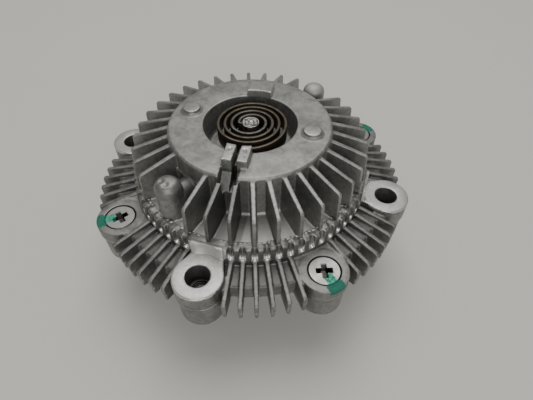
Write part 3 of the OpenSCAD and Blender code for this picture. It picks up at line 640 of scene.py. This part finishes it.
def finish_piece(piece, material, body, slot, *nodes):
    """Gives a piece its material and smooth shading, attaches it to its body and hides the nodes that it
    stands for; the slot is not used.
    """
    piece.data.materials.clear()
    piece.data.materials.append(material)
    piece.data.shade_smooth()
    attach(piece, body)
    if nodes:
        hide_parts(*nodes)


def add_prism(shape, outline, low, high, place, top=None):
    """Adds a closed prism over an outline that runs anticlockwise, tapered if it has a top outline."""
    floor = [shape.verts.new(place @ Vector((x, y, low))) for x, y in outline]
    roof = [shape.verts.new(place @ Vector((x, y, high))) for x, y in top or outline]
    shape.faces.new(floor[::-1])
    shape.faces.new(roof)
    for i in range(len(outline)):
        k = (i + 1) % len(outline)
        shape.faces.new((floor[i], floor[k], roof[k], roof[i]))


def ring_outline(radius, count):
    return [(radius * math.cos(t), radius * math.sin(t))
            for t in np.linspace(0, 2 * math.pi, count, endpoint=False)]


def boss_web(inner_half, outer_half):
    """Outline of the web between the rim and a boss that stands at the bolt circle, clear of its hole."""
    side = math.asin(min(1.0, 0.96 * outer_half / BOSS_CLEAR_R))
    arc = [(BOLT_R - BOSS_CLEAR_R * math.cos(t), BOSS_CLEAR_R * math.sin(t))
           for t in np.linspace(side, -side, 13)]
    root = RIM_R - 1.3 * MM
    end = BOLT_R - 2.2 * MM
    return [(root, inner_half), (root, -inner_half), (end, -outer_half), *arc[::-1], (end, outer_half)]


def housing_webs(shape):
    """Webs that run smoothly from the rim to the fan bosses and to the screw bosses."""
    fan_web, screw_web = boss_web(5.9 * MM, 8.9 * MM), boss_web(9.1 * MM, 9.1 * MM)
    for k in range(4):
        fan_turn, screw_turn = k * math.pi / 2, (k + 0.5) * math.pi / 2
        add_prism(shape, fan_web, WEB_LOW_Z, FAN_FACE_Z, Matrix.Rotation(fan_turn, 4, "Z"))
        add_prism(shape, screw_web, WEB_LOW_Z, SCREW_FACE_Z - 0.12 * MM, Matrix.Rotation(screw_turn, 4, "Z"))


def dome_webs(shape):
    """Rounded webs between the domes and the cap."""
    lying = Matrix.Translation((0, 0, DOME_WEB_Z)) @ Matrix.Rotation(math.pi / 2, 4, "Y")
    for turn in DOME_TURNS:
        add_prism(shape, ring_outline(DOME_WEB_R, 24), DOME_WEB_START, DOME_R,
                  Matrix.Rotation(turn, 4, "Z") @ lying)


def staked_cap(shape):
    """Metal of the shaft's head, pushed over the strip's end."""
    add_prism(shape, ring_outline(STAKED_HEAD_R, 48), CAP_TOP_Z - 0.6 * MM, CAP_TOP_Z, Matrix.Identity(4))


def eased_copy(node, name, grid, passes, faces, form=None, added=None):
    """A copy of a CAD node with its edges and corners eased as a casting's are, and with added shapes.
    The "edge" attribute keeps how sharp each place was: above 0 on outer edges, below 0 in corners."""
    loose = bmesh.new()
    loose.from_mesh(NODES[node].data)
    if added:
        added(loose)
    bmesh.ops.remove_doubles(loose, verts=loose.verts, dist=0.0005 * MM)
    piece = shaped_piece(name, loose)
    cells = piece.modifiers.new("Cells", "REMESH")
    cells.mode, cells.voxel_size = "VOXEL", grid
    sharp = rows_of(settled(piece).vertices, "co")
    ease = piece.modifiers.new("Ease", "SMOOTH")
    ease.factor, ease.iterations = 0.5, passes
    mesh = settled(piece)
    soft, out = rows_of(mesh.vertices, "co"), rows_of(mesh.vertex_normals, "vector")
    edge = np.clip(((sharp - soft) * out).sum(1) / (0.75 * grid), -1, 1)
    if form:
        soft = form(soft)
        mesh.vertices.foreach_set("co", np.ascontiguousarray(soft, np.float32).ravel())
        mesh.update()
    thin = piece.modifiers.new("Thin", "DECIMATE")
    thin.ratio = min(1.0, faces / (2 * len(mesh.polygons)))
    near = kdtree.KDTree(len(soft))
    for i, p in enumerate(soft.tolist()):
        near.insert(p, i)
    near.balance()
    mesh = settled(piece)
    kept = [near.find(p)[1] for p in rows_of(mesh.vertices, "co").tolist()]
    mesh.attributes.new("edge", "FLOAT", "POINT").data.foreach_set("value", edge[kept].astype(np.float32))
    return piece


def ramp(value, low, width):
    """0 up to low, and 1 from a width above it."""
    return np.clip((value - low) / width, 0, 1)


def lip_form(look):
    """Staked lip: the metal above each flute leans in, and the lip's height wanders, but hardly on the
    plain stretches behind the fan bosses."""
    inner_r, outer_r, plain_half, most_lean = 46.4 * MM, 52.2 * MM, 6.2 * MM, 0.3 * MM

    def form(p):
        p = p.copy()
        r, turn = np.hypot(p[:, 0], p[:, 1]), np.arctan2(p[:, 1], p[:, 0])
        share = ramp(p[:, 2], RIM_TOP_Z - 1.6 * MM, 1.2 * MM)
        share *= ramp(r, inner_r, 0.5 * MM) * ramp(-r, -outer_r, 0.5 * MM)
        share *= np.clip((np.abs(p[:, :2]).min(1) - plain_half) / (1.2 * MM), 0.12, 1)
        lift = sum(height * np.sin(count * turn + start) for height, count, start in LIP_WAVES)
        flute = np.clip(np.cos(FLUTES_PER_TURN * turn), 0, 1)
        p[:, 2] += share * look.lip_wave * (lift - 0.9 * flute - 0.35)
        lean = share * most_lean * (0.5 * flute + 0.25 * np.sin(61 * turn + 1.0))
        p[:, 0] -= lean * p[:, 0] / np.maximum(r, 1e-6)
        p[:, 1] -= lean * p[:, 1] / np.maximum(r, 1e-6)
        return p
    return form


def turned_places(p, turn):
    """Places of points along a line from the axis at this turn, and aside of it."""
    return (p[:, 0] * math.cos(turn) + p[:, 1] * math.sin(turn),
            p[:, 1] * math.cos(turn) - p[:, 0] * math.sin(turn))


def cover_form(p):
    """Small punch marks in the tops of the anchor lugs, and the flat, dimpled crown of the first dome."""
    p = p.copy()
    crown, crown_r, flat_r = 3.3 * MM, 5 * MM, 4.5 * MM
    dimple_out, dimple_side, dimple_r, dimple_depth = 1.3 * MM, 1.25 * MM, 1.05 * MM, 0.55 * MM
    punch_out, punch_side, punch_r, punch_depth = 21.6 * MM, 2.7 * MM, 0.75 * MM, 0.45 * MM
    along, aside = turned_places(p, DOME_TURNS[0])
    along = along - DOME_R
    d = np.hypot(along, aside)
    top = DOME_SHOULDER_Z + crown * np.sqrt(np.clip(1 - (d / crown_r) ** 2.8, 0, 1))
    for side in (-1, 1):
        dimple = np.hypot(along - dimple_out, aside - side * dimple_side) / dimple_r
        top -= dimple_depth * np.exp(-dimple ** 2)
    p[:, 2] += ramp(-d, -flat_r, 0.8 * MM) * (p[:, 2] > DOME_SHOULDER_Z) * (top - p[:, 2])
    along, aside = turned_places(p, LUG_TURN)
    for side in (-1, 1):
        d = np.hypot(along - punch_out, aside - side * punch_side)
        lug_top = p[:, 2] > LUG_TOP_Z - 0.5 * MM
        p[:, 2] -= np.where(lug_top, punch_depth * np.clip(1 - d / punch_r, 0, 1), 0)
    p[:, 2] = np.minimum(p[:, 2], LUG_TOP_Z)
    return p


def staked_form(p):
    """The shaft's head after staking: punch dents across the closed slot."""
    p = p.copy()
    high = ramp(p[:, 2], CAP_TOP_Z - 1.0 * MM, 0.9 * MM)
    for x, y, r, deep in HEAD_DENTS:
        d = np.hypot(p[:, 0] - x * MM, p[:, 1] - y * MM)
        p[:, 2] -= high * deep * MM * np.clip(1 - (d / (r * MM)) ** 2, 0, 1)
    return p


class NodeTree(Nodes):
    """A Geometry Nodes tree with named sizes, ending in Realize Instances and Set Material."""

    def __init__(self, name, material, **sizes):
        super().__init__(bpy.data.node_groups.new(name, "GeometryNodeTree"))
        face = self.tree.interface
        face.new_socket("Geometry", in_out="INPUT", socket_type="NodeSocketGeometry")
        self.values = {}
        for label, value in sizes.items():
            kind = "NodeSocketInt" if isinstance(value, int) else "NodeSocketFloat"
            if isinstance(value, bpy.types.Object):
                kind = "NodeSocketObject"
            socket = face.new_socket(label.replace("_", " "), in_out="INPUT", socket_type=kind)
            self.values[socket.identifier] = value
        face.new_socket("Geometry", in_out="OUTPUT", socket_type="NodeSocketGeometry")
        self.inputs = self.tree.nodes.new("NodeGroupInput").outputs
        self.material = material

    def size(self, label):
        return self.inputs[label.replace("_", " ")]

    def made(self, kind, settings=None, **inputs):
        """Adds a node and gives its first output."""
        return self.add(kind, settings, **inputs).outputs[0]

    def vector(self, x=0.0, y=0.0, z=0.0):
        return self.made("ShaderNodeCombineXYZ", X=x, Y=y, Z=z)

    def object_shape(self, label):
        """Shape of the object that an input names."""
        info = self.add("GeometryNodeObjectInfo", {"transform_space": "ORIGINAL"}, Object=self.size(label))
        return info.outputs["Geometry"]

    def grow(self, piece, shape):
        """Ends the tree with shape and turns the piece into its plain mesh."""
        whole = self.made("GeometryNodeRealizeInstances", Geometry=shape)
        dressed = self.made("GeometryNodeSetMaterial", Geometry=whole, Material=self.material)
        self.tree.links.new(dressed, self.tree.nodes.new("NodeGroupOutput").inputs[0])
        grower = piece.modifiers.new(self.tree.name, "NODES")
        grower.node_group = self.tree
        for identifier, value in self.values.items():
            grower[identifier] = value
        return settled(piece)


def strip_path(s):
    """Points along the middle of the strip, from the lugs to the valve shaft, and the shares of its
    length at which it leaves the slot and enters the shaft."""
    shift = s.pitch / 4
    wide = s.coil_r + shift + s.swing
    aim = LUG_TURN - s.turn
    reach = -s.swing * math.cos(aim) + math.sqrt(wide ** 2 - (s.swing * math.sin(aim)) ** 2)
    end = math.atan2(reach * math.sin(aim), reach * math.cos(aim) + s.swing)
    points = [Vector((r * math.cos(aim), r * math.sin(aim))) for r in np.linspace(s.anchor_r, reach, 40)]
    slot_end = len(points) - 1
    for t in np.linspace(end, 0, 70)[1:]:
        points.append(Vector((-s.swing + wide * math.cos(t), wide * math.sin(t))))
    for k in range(STRIP_HALF_TURNS):
        r = s.coil_r - k * s.pitch / 2
        middle, first = (shift, 0) if k % 2 == 0 else (-shift, math.pi)
        for t in np.linspace(first, first + math.pi, max(16, int(64 * r / s.coil_r)))[1:]:
            points.append(Vector((middle + r * math.cos(t), r * math.sin(t))))
    tab_start = len(points) - 1
    points += [Vector((x, 0)) for x in np.linspace(points[-1].x, STRIP_TAB_END, 16)[1:]]
    # The two sharp bends are eased to the radius of folded strip
    slot_ease, tab_ease = 5, 4
    for bend, width in ((slot_end, slot_ease), (tab_start, tab_ease)):
        for _ in range(6):
            old = [p.copy() for p in points]
            for i in range(bend - width, bend + width + 1):
                points[i] = (old[i - 1] + old[i] + old[i + 1]) / 3
    turned = Matrix.Rotation(s.turn, 2)
    points = [turned @ p for p in points]
    length = np.concatenate([[0], np.cumsum([(b - a).length for a, b in zip(points, points[1:])])])
    return points, length[slot_end] / length[-1], length[tab_start - tab_ease] / length[-1]


def screw_template(s):
    """One countersunk screw about the Z axis, with a tapered cross recess, at its real height."""
    tip, rim, ease, chamfer = 0.6 * MM, 0.3 * MM, 0.06 * MM, 0.18 * MM
    cone = HEAD_Z - rim
    profile = [(0.0, SCREW_TIP_Z), (s.shank_r - tip, SCREW_TIP_Z), (s.shank_r, SCREW_TIP_Z + tip),
               (s.shank_r, cone - s.head_r + s.shank_r), (s.head_r - ease, cone - ease),
               (s.head_r, cone + ease), (s.head_r - ease / 2, HEAD_Z - 2 * ease),
               (s.head_r - chamfer, HEAD_Z), (s.recess + tip, HEAD_Z), (0.0, HEAD_Z - ease / 3)]
    turned = bmesh.new()
    rail = [turned.verts.new((r, 0, z)) for r, z in profile]
    for a, b in zip(rail, rail[1:]):
        turned.edges.new((a, b))
    bmesh.ops.spin(turned, geom=turned.verts[:] + turned.edges[:], axis=(0, 0, 1), cent=(0, 0, 0),
                   angle=2 * math.pi, steps=64, use_merge=True)
    bmesh.ops.remove_doubles(turned, verts=turned.verts, dist=1e-7)
    bmesh.ops.recalc_face_normals(turned, faces=turned.faces)
    screw = shaped_piece("screw_template", turned)
    corners = ((-1, -1), (1, -1), (1, 1), (-1, 1))
    foot = [(x * 0.42 * s.recess, y * 0.4 * s.arm) for x, y in corners]
    mouth = [(x * (s.recess + 0.1 * MM), y * (s.arm / 2 + 0.02 * MM)) for x, y in corners]
    for turn in (0, math.pi / 2):
        arm = bmesh.new()
        add_prism(arm, foot, HEAD_Z - s.depth, HEAD_Z + 0.2 * MM, Matrix.Rotation(turn, 4, "Z"), mouth)
        cutter = shaped_piece("recess_cutter", arm)
        cut = screw.modifiers.new("Recess", "BOOLEAN")
        cut.operation, cut.solver, cut.object = "DIFFERENCE", "EXACT", cutter
        settled(screw)
        bpy.data.objects.remove(cutter)
    return screw


class FANCLUTCH_OT_castings(bpy.types.Operator):
    """Eases the three die castings and gives them their cast skin, faced bosses and paint"""

    bl_idname = "fan_clutch.castings"
    bl_label = "Castings"

    def execute(self, context):
        look, screws = context.scene.fan_clutch_castings, context.scene.fan_clutch_screws
        fine = (look.grid, look.passes, look.faces)
        cover = eased_copy("front_cover", "front_cover_casting", *fine, cover_form, dome_webs)
        skin = CastSkin("cover_casting", look, SHADES["cover"], calm_above=CAP_TOP_Z)
        skin.cap_wear_and_light()
        skin.dome_shade_and_light()
        finish_piece(cover, skin.done(), "housing", "cast_aluminium", "front_cover")
        front = eased_copy("front_housing", "front_housing_casting", *fine, lip_form(look), housing_webs)
        skin = CastSkin("front_housing_casting", look, SHADES["front"])
        skin.rim_shade_and_burnish()
        skin.boss_marks_and_painted_light()
        skin.painted(screws)
        finish_piece(front, skin.done(), "housing", "cast_aluminium", "front_housing")
        coarser = look.grid * 1.15
        rear = eased_copy("rear_housing", "rear_housing_casting", coarser, look.passes, look.faces)
        skin = CastSkin("rear_housing_casting", look, SHADES["rear"])
        skin.painted(screws)
        finish_piece(rear, skin.done(), "housing", "cast_aluminium", "rear_housing")
        return {"FINISHED"}


class FANCLUTCH_OT_staked_lip(bpy.types.Operator):
    """Adds the crumbs of metal that staking pushed over the cover's edge"""

    bl_idname = "fan_clutch.staked_lip"
    bl_label = "Staked lip"

    def execute(self, context):
        # The crumbs' skin is much lighter: bright pushed metal, with a painted highlight
        skin = CastSkin("staked_metal", context.scene.fan_clutch_castings, SHADES["crumbs"]).done()
        t = NodeTree("StakedCrumbs", skin, Radius=47.75 * MM, Height=RIM_TOP_Z - 0.25 * MM, Count=170,
                     Crumb=0.48 * MM, Plain_Half=3.6 * MM, Ragged=0.95 * MM, Grain=900.0, Seed=4)
        place = t.made("GeometryNodeInputPosition")
        x, y, _ = t.split(place)
        near = t.math("MINIMUM", t.math("ABSOLUTE", x), t.math("ABSOLUTE", y))
        plain = t.math("LESS_THAN", near, t.size("Plain_Half"))
        ring = t.made("GeometryNodeMeshCircle", Vertices=t.size("Count"), Radius=t.size("Radius"))
        ring = t.made("GeometryNodeDeleteGeometry", {"domain": "POINT"}, Geometry=ring, Selection=plain)
        crumb = t.made("GeometryNodeMeshIcoSphere", Radius=t.size("Crumb"), Subdivisions=2)
        lay = t.made("FunctionNodeAlignRotationToVector", {"axis": "X"}, Vector=place)
        shape = t.made("FunctionNodeRandomValue", {"data_type": "FLOAT_VECTOR"}, Min=(0.5, 0.8, 0.35),
                       Max=(1.5, 2.4, 0.95), Seed=t.size("Seed"))
        crumbs = t.made("GeometryNodeInstanceOnPoints", Points=ring, Instance=crumb, Rotation=lay,
                        Scale=shape)
        crumbs = t.made("GeometryNodeRealizeInstances", Geometry=crumbs)
        grain = t.add("ShaderNodeTexNoise", Vector=place, Scale=t.size("Grain")).outputs["Color"]
        push = t.add("ShaderNodeVectorMath", {"operation": "SUBTRACT"})
        t.put(push.inputs[0], grain)
        t.put(push.inputs[1], (0.5, 0.5, 0.5))
        push = t.made("ShaderNodeVectorMath", {"operation": "SCALE"}, Vector=push.outputs[0],
                      Scale=t.size("Ragged"))
        crumbs = t.made("GeometryNodeSetPosition", Geometry=crumbs, Offset=push)
        crumbs = t.made("GeometryNodeTransform", Geometry=crumbs, Translation=t.vector(z=t.size("Height")))
        piece = new_piece("staked_crumbs")
        t.grow(piece, crumbs)
        finish_piece(piece, skin, "housing", "cast_aluminium")
        return {"FINISHED"}


class FANCLUTCH_OT_cover_screws(bpy.types.Operator):
    """Sets the four countersunk cover screws, each at its own turn, with its paint mark"""

    bl_idname = "fan_clutch.cover_screws"
    bl_label = "Cover screws"

    def execute(self, context):
        s = context.scene.fan_clutch_screws
        zinc = zinc_finish("zinc_plate", s)
        template = screw_template(s)
        piece = new_piece("cover_screw_set")
        places = [math.pi / 4 + k * math.pi / 2 for k in range(4)]
        piece.data.from_pydata([(BOLT_R * math.cos(a), BOLT_R * math.sin(a), 0) for a in places], [], [])
        turns = piece.data.attributes.new("turn", "FLOAT", "POINT")
        turns.data.foreach_set("value", [a + b for a, b in zip(places, RECESS_TURNS)])
        t = NodeTree("ScrewSet", zinc, Screw=template)
        turn = t.made("GeometryNodeInputNamedAttribute", {"data_type": "FLOAT"}, Name="turn")
        spin = t.made("FunctionNodeEulerToRotation", Euler=t.vector(z=turn))
        screws = t.made("GeometryNodeInstanceOnPoints", Points=t.inputs[0], Instance=t.object_shape("Screw"),
                        Rotation=spin)
        t.grow(piece, screws)
        bpy.data.objects.remove(template)
        finish_piece(piece, zinc, "housing", "zinc_steel", "cover_screws")
        piece.data.set_sharp_from_angle(angle=math.radians(35))
        return {"FINISHED"}


class FANCLUTCH_OT_fan_threads(bpy.types.Operator):
    """Cuts the tapped threads that show at the bottom of the fan holes"""

    bl_idname = "fan_clutch.fan_threads"
    bl_label = "Fan hole threads"

    def execute(self, context):
        depth, pitch = 11.2 * MM, 1.25 * MM
        bright = thread_finish("tapped_thread")
        t = NodeTree("TappedThread", bright, Circle=BOLT_R, Thread=3.52 * MM, Turns=depth / pitch,
                     Depth=depth, Start=PARTING_Z - depth - 0.1 * MM, Ridge=0.52 * MM, Holes=4)
        helix = t.made("GeometryNodeCurveSpiral", Resolution=28, Rotations=t.size("Turns"),
                       Start_Radius=t.size("Thread"), End_Radius=t.size("Thread"), Height=t.size("Depth"))
        ridge = t.made("GeometryNodeCurvePrimitiveCircle", Resolution=4, Radius=t.size("Ridge"))
        thread = t.made("GeometryNodeCurveToMesh", Curve=helix, Profile_Curve=ridge, Fill_Caps=True)
        holes = t.made("GeometryNodeMeshCircle", Vertices=t.size("Holes"), Radius=t.size("Circle"))
        threads = t.made("GeometryNodeInstanceOnPoints", Points=holes, Instance=thread)
        threads = t.made("GeometryNodeTransform", Geometry=threads, Translation=t.vector(z=t.size("Start")))
        piece = new_piece("fan_hole_threads")
        t.grow(piece, threads)
        finish_piece(piece, bright, "housing", "machined_aluminium")
        return {"FINISHED"}


class FANCLUTCH_OT_bimetal_strip(bpy.types.Operator):
    """Winds the bimetal strip from the anchor lugs to the valve shaft; its turns share the valve's motion"""

    bl_idname = "fan_clutch.bimetal_strip"
    bl_label = "Bimetal strip"

    def execute(self, context):
        s = context.scene.fan_clutch_strip
        points, leave, enter = strip_path(s)
        path = bpy.data.curves.new("strip_path", "CURVE")
        path.dimensions = "3D"
        line = path.splines.new("POLY")
        line.points.add(len(points) - 1)
        middle = (STRIP_LOW_Z + STRIP_HIGH_Z) / 2
        for point, at in zip(line.points, points):
            point.co = (at.x, at.y, middle, 1)
        guide = new_piece("strip_guide", path)
        browned = strip_finish("browned_bimetal", s)
        width = STRIP_HIGH_Z - STRIP_LOW_Z
        t = NodeTree("WoundStrip", browned, Path=guide, Thickness=s.thickness, Width=width, Corner=0.16 * MM,
                     Tab_Step=width - s.tab, Tab_From=enter)
        curve = t.made("GeometryNodeSetCurveNormal", {"mode": "Z_UP"}, Curve=t.object_shape("Path"))
        share = t.add("GeometryNodeSplineParameter").outputs["Factor"]
        curve = t.made("GeometryNodeStoreNamedAttribute", {"data_type": "FLOAT", "domain": "POINT"},
                       Geometry=curve, Name="along", Value=share)
        section = t.made("GeometryNodeCurvePrimitiveQuadrilateral", Width=t.size("Thickness"),
                         Height=t.size("Width"))
        section = t.made("GeometryNodeFilletCurve", {"mode": "POLY"}, Curve=section, Count=2,
                         Radius=t.size("Corner"))
        strip = t.made("GeometryNodeCurveToMesh", Curve=curve, Profile_Curve=section, Fill_Caps=True)
        # In the shaft the strip is a narrower tab: its lower edge steps up
        along = t.made("GeometryNodeInputNamedAttribute", {"data_type": "FLOAT"}, Name="along")
        z = t.split(t.made("GeometryNodeInputPosition"))[2]
        tab = t.times(t.math("GREATER_THAN", along, t.size("Tab_From")), t.math("LESS_THAN", z, middle))
        lift = t.vector(z=t.times(tab, t.size("Tab_Step")))
        strip = t.made("GeometryNodeSetPosition", Geometry=strip, Offset=lift)
        piece = new_piece("bimetal_strip")
        mesh = t.grow(piece, strip)
        bpy.data.objects.remove(guide)
        mesh.materials.clear()
        mesh.materials.append(browned)
        mesh.shade_smooth()
        mesh.set_sharp_from_angle(angle=math.radians(40))
        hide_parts("bimetal_coil")
        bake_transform(piece, "housing", "valve", start=(0, 0, STRIP_LOW_Z), end=(0, 0, STRIP_HIGH_Z))
        # Each turn takes its share of the valve's turn, by its place along the strip
        share = np.empty(len(mesh.vertices), np.float32)
        mesh.attributes["along"].data.foreach_get("value", share)
        share = np.clip((share - leave) / (enter - leave), 0, 1)
        mesh.attributes["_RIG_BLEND"].data.foreach_set("value", share)
        return {"FINISHED"}


class FANCLUTCH_OT_valve_head(bpy.types.Operator):
    """Stakes the head of the valve shaft over the strip's inner end"""

    bl_idname = "fan_clutch.valve_head"
    bl_label = "Valve head"

    def execute(self, context):
        piece = eased_copy("valve_shaft", "valve_shaft_staked", grid=0.13 * MM, passes=3, faces=40000,
                           form=staked_form, added=staked_cap)
        steel = staked_finish("staked_steel", (0.42, 0.42, 0.41))
        finish_piece(piece, steel, "valve", "zinc_steel", "valve_shaft")
        return {"FINISHED"}


class FANCLUTCH_OT_drive_parts(bpy.types.Operator):
    """Dresses the drive flange, the bearing, the rotor and the sealed inner pieces"""

    bl_idname = "fan_clutch.drive_parts"
    bl_label = "Drive and inner parts"

    def execute(self, context):
        shaft = eased_copy("drive_shaft", "drive_shaft_turned", grid=0.3 * MM, passes=2, faces=60000)
        finish_piece(shaft, turned_finish("turned_steel", (0.50, 0.495, 0.48), 0.3, 0.5 * MM),
                     "drive", "forged_steel", "drive_shaft")
        ground = turned_finish("ground_steel", (0.68, 0.68, 0.67), 0.16, 0.2 * MM)
        plated = turned_finish("plated_steel", (0.66, 0.655, 0.63), 0.26, 0.35 * MM)
        spring = turned_finish("spring_steel", (0.16, 0.16, 0.16), 0.34, 0.4 * MM)
        brass = turned_finish("cage_brass", (0.62, 0.45, 0.2), 0.28, 0.3 * MM)
        turned = turned_finish("turned_aluminium", (0.64, 0.64, 0.625), 0.28, 0.45 * MM)
        rubber = rubber_finish("seal_rubber")
        for material, names in (
                (ground, ("bearing_inner_ring", "bearing_outer_ring", "bearing_balls")),
                (plated, ("partition_plate", "valve_arm")),
                (spring, ("bearing_snap_ring", "rotor_snap_ring")),
                (brass, ("bearing_cage",)),
                (turned, ("rotor",)),
                (rubber, ("bearing_front_seal", "bearing_rear_seal", "housing_o_ring", "cover_o_ring",
                          "valve_shaft_o_ring"))):
            for name in names:
                NODES[name].data.materials.clear()
                NODES[name].data.materials.append(material)
        return {"FINISHED"}


class FANCLUTCH_OT_stage(bpy.types.Operator):
    """Sets the pale floor, the soft light and the camera"""

    bl_idname = "fan_clutch.stage"
    bl_label = "Stage"

    def execute(self, context):
        scene, s = context.scene, context.scene.fan_clutch_stage
        disc = bmesh.new()
        bmesh.ops.create_circle(disc, cap_ends=True, segments=96, radius=5.0)
        floor = shaped_piece("table_top", disc)
        floor.data.materials.append(floor_finish("table_top", s.floor))
        scene.world = bpy.data.worlds.new("room")
        scene.world.use_nodes = True
        room = scene.world.node_tree.nodes["Background"].inputs
        room["Color"].default_value = (1.0, 0.99, 0.965, 1)
        room["Strength"].default_value = s.sky
        aim = Vector((0, 0, 0.03))
        for name, at, size, share in (("ceiling_panel", (-0.1, 0.4, 1.2), 0.9, 1.0),
                                      ("front_panel", (0.45, -1.1, 0.75), 1.0, 0.78)):
            lamp = bpy.data.lights.new(name, "AREA")
            lamp.shape, lamp.size, lamp.energy = "SQUARE", size, s.panel * share
            lamp.color = (1.0, 0.985, 0.95)
            light = new_piece(name, lamp)
            light.location = at
            light.rotation_euler = (aim - Vector(at)).to_track_quat("-Z", "Y").to_euler()
        lens = bpy.data.cameras.new("camera")
        lens.sensor_width, lens.lens = 36.0, s.focal
        lens.clip_start, lens.clip_end = 0.005, 20.0
        camera = new_piece("camera", lens)
        # Heading from +Y, pitch below the horizon and roll, as the photo's circles give them
        eye, heading, pitch, roll = (0.04343, -0.12198, 0.16403), 0.28808, 0.8304, 0.0137
        camera.matrix_world = (
            Matrix.Translation(eye) @ Matrix.Rotation(heading, 4, "Z")
            @ Matrix.Rotation(math.pi / 2 - pitch, 4, "X") @ Matrix.Rotation(roll, 4, "Z"))
        scene.camera = camera
        return {"FINISHED"}


STEPS = (FANCLUTCH_OT_stage, FANCLUTCH_OT_castings, FANCLUTCH_OT_staked_lip, FANCLUTCH_OT_cover_screws,
         FANCLUTCH_OT_fan_threads, FANCLUTCH_OT_bimetal_strip, FANCLUTCH_OT_valve_head,
         FANCLUTCH_OT_drive_parts)


class FANCLUTCH_PT_panel(bpy.types.Panel):
    """Lists the steps that dress the fan clutch"""

    bl_idname = "FANCLUTCH_PT_panel"
    bl_label = "Fan clutch"
    bl_space_type = "VIEW_3D"
    bl_region_type = "UI"
    bl_category = "Fan clutch"

    def draw(self, context):
        for step in STEPS:
            self.layout.operator(step.bl_idname)


GROUPS = {"fan_clutch_castings": CastingSettings, "fan_clutch_screws": ScrewSettings,
          "fan_clutch_strip": StripSettings, "fan_clutch_stage": StageSettings}


def register():
    for cls in (*GROUPS.values(), *STEPS, FANCLUTCH_PT_panel):
        bpy.utils.register_class(cls)
    for name, group in GROUPS.items():
        setattr(bpy.types.Scene, name, PointerProperty(type=group))


def unregister():
    for name in GROUPS:
        delattr(bpy.types.Scene, name)
    for cls in reversed((*GROUPS.values(), *STEPS, FANCLUTCH_PT_panel)):
        bpy.utils.unregister_class(cls)


def main():
    register()
    bpy.ops.fan_clutch.stage()
    bpy.ops.fan_clutch.castings()
    bpy.ops.fan_clutch.staked_lip()
    bpy.ops.fan_clutch.cover_screws()
    bpy.ops.fan_clutch.fan_threads()
    bpy.ops.fan_clutch.bimetal_strip()
    bpy.ops.fan_clutch.valve_head()
    bpy.ops.fan_clutch.drive_parts()


if __name__ == "__main__":
    main()
